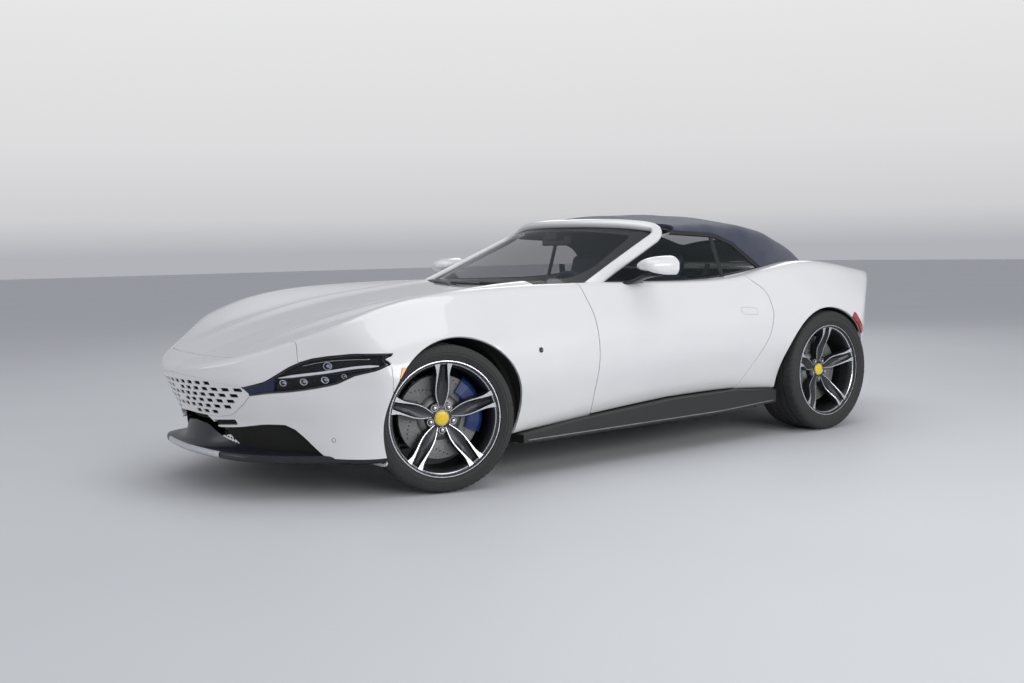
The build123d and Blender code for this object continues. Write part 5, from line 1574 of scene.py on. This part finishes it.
def seats():
    """Front and rear seats; the outlines are s and z in mm."""
    base = [(2160, 300), (2180, 388), (2400, 382), (2640, 362), (2670, 290)]
    back = [(2575, 330), (2680, 330), (2800, 620), (2905, 880), (2860, 915), (2800, 890), (2690, 640)]
    head = [(2812, 905), (2838, 935), (2872, 1052), (2930, 1050), (2936, 1000), (2900, 900)]
    rear = [(2965, 190), (2985, 440), (3080, 446), (3150, 425), (3185, 190)]
    rear_back = [(3100, 450), (3180, 440), (3188, 850), (3160, 872), (3132, 845)]
    for side, name in SIDES:
        stands = ["front_seats"] if side == 1 else []
        pad(f"seat_cushion_{name}", base, [0.03, 0.045, 0.3, 0.05, 0.03], 0.240, side * SEAT_X, 0.06,
            bolster=0.030, channels=0.062, slot="seat_leather", stands_for=stands, fill=0.8)
        pad(f"seat_back_{name}", back, [0.03, 0.03, 0.3, 0.05, 0.03, 0.06, 0.5], 0.228, side * SEAT_X, 0.06,
            facing=(-1, 0.45), bolster=0.030, channels=0.066, slot="seat_leather", fill=0.8)
        pad(f"headrest_{name}", head, [0.02, 0.06, 0.03, 0.025, 0.1, 0.02], 0.120, side * SEAT_X, 0.045,
            facing=(-1, 0.3), slot="seat_leather", fill=0.9)
        stands = ["rear_seats"] if side == 1 else []
        pad(f"rear_cushion_{name}", rear, [0.02, 0.05, 0.3, 0.04, 0.02], 0.215, side * REAR_SEAT_X, 0.05,
            bolster=0.014, channels=0.055, slot="seat_leather", stands_for=stands, fill=0.7)
        pad(f"rear_back_{name}", rear_back, [0.02, 0.02, 0.02, 0.02, 0.03], 0.215, side * REAR_SEAT_X, 0.04,
            facing=(-1, 0.1), bolster=0.010, channels=0.060, slot="seat_leather", fill=0.7)
        x = side * SEAT_X
        posts = [rod([(x + dx, 2.866, 0.86), (x + dx, 2.884, 0.95)], 0.012) for dx in (-0.05, 0.05)]
        rails = [box(x + dx - 0.02, x + dx + 0.02, 2.19, 2.67, 0.176, 0.300) for dx in (-0.19, 0.19)]
        solid(f"headrest_posts_{name}", posts, "steel")
        solid(f"seat_rails_{name}", rails + [box(x - 0.20, x + 0.20, 2.20, 2.62, 0.262, 0.300)], "cabin_trim",
              bevel=0.004)


def cabin():
    """Dashboard, console, steering wheel, door cards, belts and the inside mirror."""
    top = [(1570, 850), (1580, 868), (1850, 878), (2030, 866), (2078, 820), (2060, 790), (1580, 790)]
    low = [(1575, 610), (1575, 780), (2050, 780), (2070, 760), (2035, 695), (1905, 610)]
    pad("dash_top", top, [0.01, 0.02, 0.3, 0.05, 0.02, 0.02, 0.01], 0.685, 0.0, 0.03, crown=0.0,
        material="cabin_trim", slot="cabin_trim", stands_for=["dashboard"])
    pad("dash_lower", low, [0.02, 0.01, 0.01, 0.02, 0.05, 0.05], 0.680, 0.0, 0.03, crown=0.0,
        material="seat_leather")
    hood = [(1960, 868), (1985, 898), (2060, 900), (2088, 885), (2082, 872), (2020, 866)]
    pad("instrument_hood", hood, [0.01, 0.03, 0.02, 0.008, 0.01, 0.02], 0.170, SEAT_X, 0.03, crown=0.0,
        material="cabin_trim")
    screens = [box(SEAT_X - 0.150, SEAT_X + 0.150, 2.066, 2.074, 0.790, 0.872),
               box(-0.075, 0.075, 2.070, 2.080, 0.640, 0.812), box(-0.560, -0.240, 2.072, 2.078, 0.752, 0.786)]
    solid("cabin_screens", screens, "black_gloss", bevel=0.003)
    vent = revolve([(0.0, 0.036), (0.010, 0.034), (0.010, 0.029), (0.002, 0.028), (0.002, 0.010),
                    (0.008, 0.0005)], 32)
    vents = [turned(vent, (0, 1, 0.1), [x, y_of(2.066), 0.735]) for x in (-0.60, -0.16, 0.16, 0.60)]
    solid("dash_vents", vents, "silver_trim")
    shell = [(1905, 335), (1905, 590), (2100, 584), (2250, 556), (2600, 548), (2895, 540), (2930, 335)]
    pad("console_body", shell, [0.01, 0.03, 0.2, 0.2, 0.3, 0.03, 0.02], 0.090, 0.0, 0.018, crown=0.0,
        material="cabin_trim", slot="cabin_trim", stands_for=["centre_console"])
    armrest = [(2600, 552), (2610, 584), (2860, 580), (2880, 545)]
    pad("console_armrest", armrest, [0.01, 0.02, 0.02, 0.01], 0.080, 0.0, 0.02, material="seat_leather",
        fill=0.8)
    solid("console_controls",
          [box(-0.055, 0.055, 2.260, 2.560, 0.552, 0.566), box(-0.030, 0.030, 2.150, 2.230, 0.576, 0.592)],
          "black_gloss", bevel=0.004)

    # the steering wheel and its column, made along X and laid on the column's axis
    axis = np.array([0, 0.927, 0.375])
    hub_at = np.array([SEAT_X, y_of(2.040), 0.742]) + axis * 0.158

    def on_wheel(*parts):
        return [turned(part, axis, hub_at) for part in parts]
    a = np.linspace(0, 2 * math.pi, 16, endpoint=False)
    rim = revolve(np.c_[0.014 * np.cos(a), 0.178 + 0.0150 * np.sin(a)].tolist() + [(0.014, 0.178)], 96)
    hub = revolve([(-0.020, 0.0005), (-0.020, 0.060), (0.004, 0.066), (0.016, 0.056), (0.022, 0.030),
                   (0.023, 0.0005)], 40)
    v, f = block(-0.010, 0.008, -0.017, 0.017, 0.045, 0.170)
    spokes = [(placed(v, Matrix.Rotation(math.radians(angle), 4, "X")), f) for angle in (90, 270, 180)]
    solid("wheel_rim_and_pad", on_wheel(rim, hub), "seat_leather", "body", "cabin_trim", ["steering_wheel"],
          angle=50)
    solid("wheel_spokes", on_wheel(*spokes), "black_gloss", bevel=0.004)
    column = revolve([(-0.158, 0.035), (-0.158, 0.0005), (-0.020, 0.0005), (-0.020, 0.030), (-0.070, 0.035),
                      (-0.158, 0.040)], 32)
    stalks = [block(-0.055, -0.045, y, y + 0.100, -0.008, 0.008) for y in (-0.130, 0.030)]
    solid("steering_column", on_wheel(column, *stalks), "cabin_trim", angle=45)

    card = BODY.where(above("x", 0.745), above("s", 1.7), below("s", 3.3), outline(DOOR, "s", "z", -0.030),
                      below("z", 0.86)).moved(0.050)
    rest = [(2260, 575), (2250, 610), (2500, 628), (2800, 640), (2830, 600), (2600, 570)]
    for (side, name), skin in zip(SIDES, (card, card.flipped())):
        skin_piece(f"door_card_{name}", skin.hemmed(0.02), "seat_leather", f"door_{name}")
        pad(f"door_armrest_{name}", rest, [0.02, 0.02, 0.3, 0.02, 0.03, 0.3], 0.045, side * 0.790, 0.025,
            material="cabin_trim", body=f"door_{name}", fill=0.8)
    belts = [rod([(side * 0.655, 2.93, 1.00), (side * 0.60, 2.90, 0.80), (side * 0.585, 2.80, 0.45)], 0.004,
                 0.045, 10, 4, up=(0, 1, 0.3)) for side in (-1, 1)]
    solid("seat_belts", belts, "black_trim")
    solid("mirror_inside",
          [box(-0.125, 0.125, 2.335, 2.352, 1.120, 1.180), box(-0.05, 0.05, 2.30, 2.345, 1.150, 1.200)],
          "black_gloss", bevel=0.008)


def mirrors():
    """Door mirrors: a painted cap on a dark foot and arm, its glass facing back."""
    u = 0.5 - 0.5 * np.cos(np.linspace(0, math.pi, 26))
    top = np.interp(u, [0, 0.25, 0.45, 0.65, 0.85, 1], [0.026, 0.044, 0.052, 0.053, 0.044, 0.030])
    low = np.interp(u, [0, 0.3, 0.55, 0.75, 0.9, 1], [0.030, 0.030, 0.034, 0.046, 0.048, 0.036])
    front = np.interp(u, [0, 0.15, 0.4, 0.7, 0.9, 1], [2.168, 2.135, 2.114, 2.116, 2.140, 2.180])
    end = np.sqrt(np.clip(1 - np.abs(2 * u - 1)**7, 0.0, 1))
    angle = np.radians(np.linspace(-90, 90, 25))
    c, s = np.abs(np.cos(angle))**0.75, np.sign(np.sin(angle)) * np.abs(np.sin(angle))**0.85
    x = np.repeat((0.872 + 0.176 * u)[:, None], 25, axis=1)
    back = 2.298              # station of the cap's open end
    mid = back - (back - front) * (0.25 + 0.75 * end)
    y = back - (back - mid)[:, None] * c[None]
    z = 1.004 + np.where(s[None] > 0, top[:, None], low[:, None]) * s[None] * (0.35 + 0.65 * end)[:, None]
    cap = np.stack([x, y, z], axis=-1)
    faces = grid_faces(26, 25).tolist() + [list(range(25)), list(range(25 * 25, 26 * 25))[::-1]]
    v = station_y(cap.reshape(-1, 3))
    # the cap's open end, the rim inside it and the glass
    ring = np.vstack([cap[:, 0], cap[::-1, -1]])
    middle = ring.mean(axis=0)
    inner = middle + (ring - middle) * [0.93, 1, 0.90]
    glass_v = inner + [0, -0.010, 0]
    k = len(ring)
    lip_v = np.vstack([ring, inner, glass_v])
    lip_f = grid_faces(3, k, closed=True)
    arm = rod([(0.800, 2.150, 0.912), (0.850, 2.175, 0.925), (0.905, 2.195, 0.950), (0.955, 2.205, 0.958),
               (1.000, 2.215, 0.955)], 0.075, 0.026, 18, 2.6,
              scale=np.c_[[1.5, 1.25, 1.05, 0.95, 0.45], [0.9, 0.9, 0.9, 0.8, 0.4]])
    foot = rod([(0.770, 2.02, 0.897), (0.800, 2.12, 0.905), (0.815, 2.24, 0.908), (0.800, 2.32, 0.900)], 0.050,
               0.022, 16, 3, scale=np.c_[[0.3, 1.0, 1.0, 0.3], [0.3, 1, 1, 0.5]])
    arm_v, arm_f = join(arm, foot)
    for side, name in SIDES:
        m, body = np.array([side, 1, 1]), f"door_{name}"
        cap_piece = piece(f"mirror_cap_{name}", v * m, faces, "body_paint", body, "body_paint",
                          [f"mirror_{name}"])
        creased(fix_normals(cap_piece), 50)
        fix_normals(piece(f"mirror_rim_{name}", station_y(lip_v) * m, lip_f, "black_gloss", body))
        piece(f"mirror_glass_{name}", station_y(glass_v) * m, [list(range(k))], "chrome", body, smooth=False)
        fix_normals(piece(f"mirror_arm_{name}", arm_v * m, arm_f, "black_satin", body))


def tail():
    """Valance, plate recess, lamps, pipes and the finned tray under the tail."""
    back = BODY.where(above("s", 4.0))
    face = tail_skin(-0.392, 0.392, 0.24, 0.727)
    face = face.where(*TAIL_FACE, flip(outline(VALANCE, "w", "z", 0.001)), flip(outline(PLATE, "w", "z", 0.0)))
    skin_piece("rear_bumper_face", face.hemmed(0.02, 0.0003), "body_paint", "body", "body_paint")
    valance = tail_skin(-0.76, 0.76, 0.15, 0.412).where(outline(VALANCE, "w", "z", -0.001)).moved(0.010)
    skin_piece("rear_valance", valance.hemmed(0.02), "black_satin", "body", "black_trim", ["rear_diffuser"])
    recess = tail_skin(-0.28, 0.28, 0.44, 0.67).where(outline(PLATE, "w", "z", 0.004)).moved(0.032)
    skin_piece("plate_recess", recess, "black_satin")
    wall = tail_skin(-0.28, 0.28, 0.44, 0.67, 0.004)
    wall = wall.where(outline(PLATE, "w", "z", 0.003), flip(outline(PLATE, "w", "z", -0.001))).moved(0.001)
    skin_piece("plate_recess_edge", wall.hemmed(0.032, 0.0005), "black_satin")
    s0 = min(surface_tail(0.155, 0.480), surface_tail(0.155, 0.63)) - 0.004
    solid("blank_plate", [box(-0.155, 0.155, s0, s0 + 0.004, 0.478, 0.630)], "white_lens", bevel=0.0015)

    lamp = back.where(outline(TAIL_LAMP, "s", "z", -0.0010), above("w", 0.5), flip(lid_zone))
    skin_piece("tail_lamp_beds", lamp.moved(0.016).hemmed(0.004), "black_gloss", "body", "tail_lens",
               ["tail_lamps"])
    skin_piece("tail_lamp_lenses", lamp.moved(0.0035).hemmed(0.012, 0.001), "red_lens", "body", "tail_lens")

    backwards = np.array([[0, -1, 0], [1, 0, 0], [0, 0, 1]], float)
    pipe_v, pipe_f = revolve([(-0.150, 0.0400), (-0.012, 0.0410), (-0.002, 0.0425), (0.000, 0.0410),
                              (-0.003, 0.0380), (-0.020, 0.0365), (-0.150, 0.0360)], 48)
    # a near-black cone that closes each pipe 60 mm in: painted shade inside the pipe
    inside_v, inside_f = revolve([(-0.060, 0.0364), (-0.062, 0.0180), (-0.064, 0.0003)], 32)
    pipes, insides = [], []
    for x in PIPE_X:
        end = [x, y_of(surface_tail(x, PIPE_Z) + 0.004), PIPE_Z]
        pipes.append((pipe_v @ backwards.T + end, pipe_f))
        insides.append((inside_v @ backwards.T + end, inside_f))
    solid("exhaust_pipes", pipes, "chrome", "body", "steel", ["exhaust_tips"], angle=40)
    piece("exhaust_inner_shade", *join(*insides), "black_void")

    fins = []
    for x in (-0.42, -0.28, -0.14, 0.0, 0.14, 0.28, 0.42):
        reach = surface_tail(x, 0.26) - 0.012
        fins.append(prism([(4.20, 0.140), (reach - 0.10, 0.150), (reach - 0.02, 0.180), (reach, 0.255),
                           (reach - 0.03, 0.262), (4.33, 0.215), (4.20, 0.176)], x - 0.005, x + 0.005))
    solid("diffuser_fins", fins, "black_satin", bevel=0.002)
    line = [(4.080, 0.160), (4.20, 0.170), (4.33, 0.196), (4.43, 0.226), (4.515, 0.258)]
    xs = np.linspace(-0.56, 0.56, 33)
    top = np.array([[(x, min(s, surface_tail(x, z) - 0.015), z) for x in xs] for s, z in line])
    v = station_y(np.vstack([top.reshape(-1, 3), (top + [0, 0, 0.014]).reshape(-1, 3)]))
    f = grid_faces(len(line), 33).tolist()
    f += [[k + len(line) * 33 for k in q][::-1] for q in f]
    fix_normals(piece("diffuser_tray", v, f, "black_satin"))


def surface_tail(x, z):
    """Station of the tail's surface at a place across and a height."""
    return float(solve(np.array([[x, 3.9, z]]), np.array([[0.0, 1.0, 0.0]]))[0, 1])


def tail_skin(x0, x1, z0, z1, step=0.008):
    """The tail's surface as a grid over x and z."""
    return nose_skin(x0, x1, z0, z1, step, 1.0, 3.9)


def chassis():
    """Suspension, hub carriers, engine, tunnel and radiator."""
    turns, rise = np.linspace(0, 5.5 * 2 * math.pi, 132), np.linspace(0, 1, 132)
    for front in (True, False):
        end, axle = ("front", FRONT_AXLE) if front else ("rear", REAR_AXLE)
        inner, outer = (0.43, 0.765) if front else (0.50, 0.770)
        arms = []
        for z_in, z_out, spread in ((0.190, 0.186, 0.105), (0.500, 0.504, 0.085)):
            for ds in (-spread, spread):
                bend = ((inner + outer) / 2, axle + ds * 0.6, (z_in + z_out) / 2)
                arms.append(rod([(inner, axle + ds, z_in), bend, (outer, axle, z_out)], 0.030, 0.022))
        low, high = np.array([0.640, axle, 0.225]), np.array([0.575, axle, 0.500])
        coil = low + (high - low) * rise[:, None] + 0.050 * np.c_[np.cos(turns), np.sin(turns), 0 * turns]
        damper = rod([low - [0, 0, 0.02], low * 0.5 + high * 0.5, high + [0, 0, 0.02]], 0.044, count=16)
        beam = box(-inner + 0.01, inner - 0.01, axle - 0.055, axle + 0.055, 0.176, 0.215)
        towers = [box(x, x + 0.045, axle - 0.105, axle + 0.105, 0.176, 0.515) for x in (-inner, inner - 0.045)]
        solid(f"arms_{end}", [mirrored_parts(arms)], "cast_metal", "body", "cast_metal", [f"{end}_suspension"],
              angle=45)
        solid(f"subframe_{end}", [beam] + towers, "liner_plastic", bevel=0.006)
        solid(f"springs_{end}", [mirrored_parts([rod(coil, 0.011, count=8)])], "black_satin")
        solid(f"dampers_{end}", [mirrored_parts([damper])], "steel", angle=45)
        for side, name in SIDES:
            hub = hub_matrix(front, side)
            carrier = revolve([(-0.100, 0.0005), (-0.100, 0.045), (-0.075, 0.056), (-0.026, 0.056),
                               (-0.026, 0.0005)], 40)
            upright = block(-0.085, -0.050, -0.034, 0.034, -0.150, 0.165)
            y0, y1 = (0.03, 0.150) if (side == 1) == front else (-0.150, -0.03)      # towards the caliper
            bracket = block(-0.075, -0.055, y0, y1, -0.03, 0.03)
            parts = [(placed(v, hub), f) for v, f in (carrier, upright, bracket)]
            solid(f"hub_carrier_{end}_{name}", parts, "cast_metal", f"knuckle_{name}" if front else "body",
                  "cast_metal", [f"knuckle_{name}"] if front else [], bevel=0.004)

    solid("engine_block",
          [box(-0.25, 0.25, 0.76, 1.40, 0.205, 0.540), box(-0.17, 0.17, 0.73, 0.78, 0.24, 0.50)], "cast_metal",
          "body", "cast_metal", ["powertrain"], bevel=0.012)
    for side, name in SIDES:
        pad(f"cam_cover_{name}", [(780, 535), (790, 636), (1380, 640), (1395, 535)], [0.02, 0.03, 0.03, 0.02],
            0.075, side * 0.185, 0.025, crown=0.0, channels=0.05, material="cover_blue")
    pad("intake_plenum", [(800, 600), (830, 690), (1080, 702), (1340, 690), (1370, 600)],
        [0.02, 0.04, 0.4, 0.04, 0.02], 0.095, 0.0, 0.035, crown=0.004, material="black_satin")
    ducts = [rod([(side * 0.08, s, 0.66), (side * 0.13, s, 0.655), (side * 0.18, s, 0.625)], 0.036,
                 count=14) for side in (-1, 1) for s in (0.87, 1.01, 1.15, 1.29)]
    solid("intake_runners", ducts, "cast_metal", angle=50)
    solid("drive_tunnel", [box(-0.10, 0.10, 1.545, 3.185, 0.176, 0.325)], "liner_plastic", bevel=0.02)
    solid("radiator", [box(-0.29, 0.29, 0.565, 0.600, 0.30, 0.56)], "cast_metal", bevel=0.004)


def small_trim():
    """Fender button, wipers, belt strips and a painted highlight along the skirts' lower edge."""
    q, n = surface_point(*BUTTON)
    button = revolve([(-0.002, 0.0135), (0.0016, 0.0130), (0.0022, 0.0100), (0.0006, 0.0085), (0.0006, 0.0003)],
                     32)
    piece("fender_buttons", *two_sided(*turned(button, n, q - MIDDLE)), "black_gloss")

    wipers, up = [], (0, -0.8, 0.6)
    for x0, x1 in ((0.50, -0.14), (-0.06, -0.60)):
        t = np.linspace(0, 1, 16)
        x = x0 + (x1 - x0) * t
        z = 0.912 + 0.012 * t
        s = np.array([float(screen_s(a, b)) for a, b in zip(x, z)]) - 0.014
        wipers.append(rod(np.c_[x, s, z], 0.012, 0.010, 10, up=up))
        arm = [(x0 + 0.02, s[0] - 0.045, 0.900), (x0 - 0.08, s[3] - 0.020, 0.918),
               (x[8], s[8] - 0.008, z[8] + 0.008)]
        wipers.append(rod(arm, 0.022, 0.010, 10, 3, up=up, scale=np.c_[[1, 0.8, 0.45], [1, 1, 1]]))
    solid("wipers", wipers, "black_satin", angle=50)

    skirts = [prism(SKIRT, *sorted((side * 0.745, side * 0.913))) for side in (-1, 1)]
    solid("sill_skirts", skirts, "black_trim", "body", "black_trim", ["side_skirts"], bevel=0.007)
    # a thin grey metal line near each skirt's lower edge: painted highlight
    s = np.linspace(1.40, 3.19, 40)
    edge = np.c_[0.9135 + 0 * s, s, np.interp(s, [1.372, 2.763, 3.222], [0.1860, 0.1920, 0.2120])]
    v, f = sweep(station_y(edge), np.array([0, 0, 1.0]), oval(0.004, 0.006, 8))
    piece("skirt_edge_highlights", *two_sided(v, f), "cast_metal")
    strip = BODY.where(above("x", 0.55), above("s", 1.95), below("s", 3.24), above("z", 0.80),
                       outline([(1.9, 0.74), (1.9, 0.760), (3.24, 0.760), (3.24, 0.74)], "s", "x"))
    skin_pair("belt_strips", strip.moved(-0.004).hemmed(0.004), "black_satin")


BUTTON = (1.461, 0.620)
SKIRT = [(1.372, 0.170), (2.763, 0.176), (3.222, 0.196), (3.222, 0.272), (2.900, 0.295), (2.400, 0.291),
         (1.850, 0.257), (1.750, 0.250), (1.372, 0.216)]
mottled("cover_blue", (0.012, 0.03, 0.09, 1), (0.02, 0.045, 0.13, 1), (0.45, 0.6), 40, 300, 0.4, 0.0006)
seats()
cabin()
mirrors()
tail()
chassis()
small_trim()


# ---------------------------------------------------------------- the studio
def studio():
    """Camera, floor, world and lamps."""
    scene = bpy.context.scene
    camera = bpy.data.objects.new("camera", bpy.data.cameras.new("camera"))
    scene.collection.objects.link(camera)
    yaw, pitch, roll = 0.648784, 0.0805378, -0.0185701       # radians
    focal_px, width_px = 1135.8, 1024
    f = Vector((-math.cos(yaw) * math.cos(pitch), math.sin(yaw) * math.cos(pitch), -math.sin(pitch)))
    r = f.cross(Vector((0, 0, 1))).normalized()
    u = r.cross(f)
    right, up = math.cos(roll) * r + math.sin(roll) * u, -math.sin(roll) * r + math.cos(roll) * u
    rotation = Matrix((right, up, -f)).transposed().to_4x4()
    camera.matrix_world = Matrix.Translation((5.18158, -4.25286, 1.10067)) @ rotation
    camera.data.sensor_width = 36
    camera.data.lens = focal_px / width_px * 36
    camera.data.clip_end = 200
    scene.camera = camera
    scene.view_settings.view_transform = "Standard"

    floor = mesh_object("floor", [(-60, -60, 0), (60, -60, 0), (60, 60, 0), (-60, 60, 0)], [(0, 1, 2, 3)])
    m, t, bsdf = nodes_of("floor", Roughness=0.55)
    noise = node(t, "ShaderNodeTexNoise", [("Vector", coords(t), "Vector")], Scale=0.6)
    tint = ramp(t, noise, [(0.3, (0.640, 0.655, 0.675, 1)), (0.7, (0.660, 0.675, 0.695, 1))])
    t.links.new(tint.outputs["Color"], bsdf.inputs["Base Color"])
    floor.data.materials.append(m)

    world = bpy.data.worlds.new("studio")
    scene.world = world
    world.use_nodes = True
    t = world.node_tree
    background = t.nodes["Background"]
    geometry = node(t, "ShaderNodeTexCoord")
    split = node(t, "ShaderNodeSeparateXYZ", [("Vector", geometry, "Generated")])
    lift = node(t, "ShaderNodeMapRange", [("Value", split, "Z")], From_Min=-0.1, From_Max=0.9)
    grade = ramp(t, lift,
                 [(0.0, (0.62, 0.63, 0.65, 1)), (0.12, (0.66, 0.67, 0.68, 1)), (0.40, (0.45, 0.46, 0.50, 1)),
                  (1.0, (0.60, 0.61, 0.65, 1))])
    t.links.new(grade.outputs["Color"], background.inputs["Color"])
    background.inputs["Strength"].default_value = 0.78

    # the pale wall: what the camera sees, also through glass
    low = node(t, "ShaderNodeMapRange", [("Value", split, "Z")], From_Min=0.0, From_Max=0.30)
    wall = node(t, "ShaderNodeBackground")
    shade = ramp(t, low,
                 [(0.0, (0.44, 0.45, 0.48, 1)), (0.10, (0.62, 0.62, 0.64, 1)), (0.30, (0.72, 0.72, 0.73, 1)),
                  (1.0, (0.86, 0.86, 0.86, 1))])
    t.links.new(shade.outputs["Color"], wall.inputs["Color"])
    path = node(t, "ShaderNodeLightPath")
    seen = node(t, "ShaderNodeMath", operation="MAXIMUM")
    t.links.new(path.outputs["Is Camera Ray"], seen.inputs[0])
    t.links.new(path.outputs["Is Transmission Ray"], seen.inputs[1])
    mix = node(t, "ShaderNodeMixShader")
    t.links.new(seen.outputs["Value"], mix.inputs["Fac"])
    t.links.new(background.outputs["Background"], mix.inputs[1])
    t.links.new(wall.outputs["Background"], mix.inputs[2])
    t.links.new(mix.outputs["Shader"], t.nodes["World Output"].inputs["Surface"])

    for name, place, aim, size, power in LAMPS:
        lamp = bpy.data.objects.new(name, bpy.data.lights.new(name, "AREA"))
        scene.collection.objects.link(lamp)
        lamp.data.shape = "RECTANGLE"
        lamp.data.size, lamp.data.size_y = size
        lamp.data.energy = power
        lamp.location = place
        lamp.rotation_euler = (Vector(aim) - Vector(place)).to_track_quat("-Z", "Y").to_euler()


# name, place, aimed at, size across and up, watts
LAMPS = [
    ("overhead", (0.5, 0, 6.0), (0, 0, 0), (3.2, 9.0), 130),
    ("left_side", (7.5, 0.5, 2.6), (0.5, 0.3, 0.6), (8.0, 2.6), 270),
    ("nose", (-1.5, -8.0, 3.0), (0, -1.5, 0.5), (5.0, 2.4), 70),
    ("rear", (-5.0, 6.0, 4.5), (0, 1.0, 0.5), (5.0, 3.0), 80),
]


# ---------------------------------------------------------------- finishes of the nodes that show as they are
# The finish of a slot, where it isn't the one of the same name.
SLOT_LOOKS = {"wheel_alloy": "wheel_dark", "brake_disc": "cast_metal", "lamp_lens": "lamp_inner",
              "tail_lens": "red_lens"}


def dress_nodes():
    """A finish on every node, by its slot."""
    record = frame["record"]
    slot_of = {p["node"]: p.get("material_slot") for p in record.get("subparts", []) if "node" in p}
    for name, o in frame["nodes"].items():
        slot = slot_of.get(name)
        o.data.materials.clear()
        o.data.materials.append(MATERIALS.get(SLOT_LOOKS.get(slot, slot), MATERIALS["liner_plastic"]))


dress_nodes()
studio()
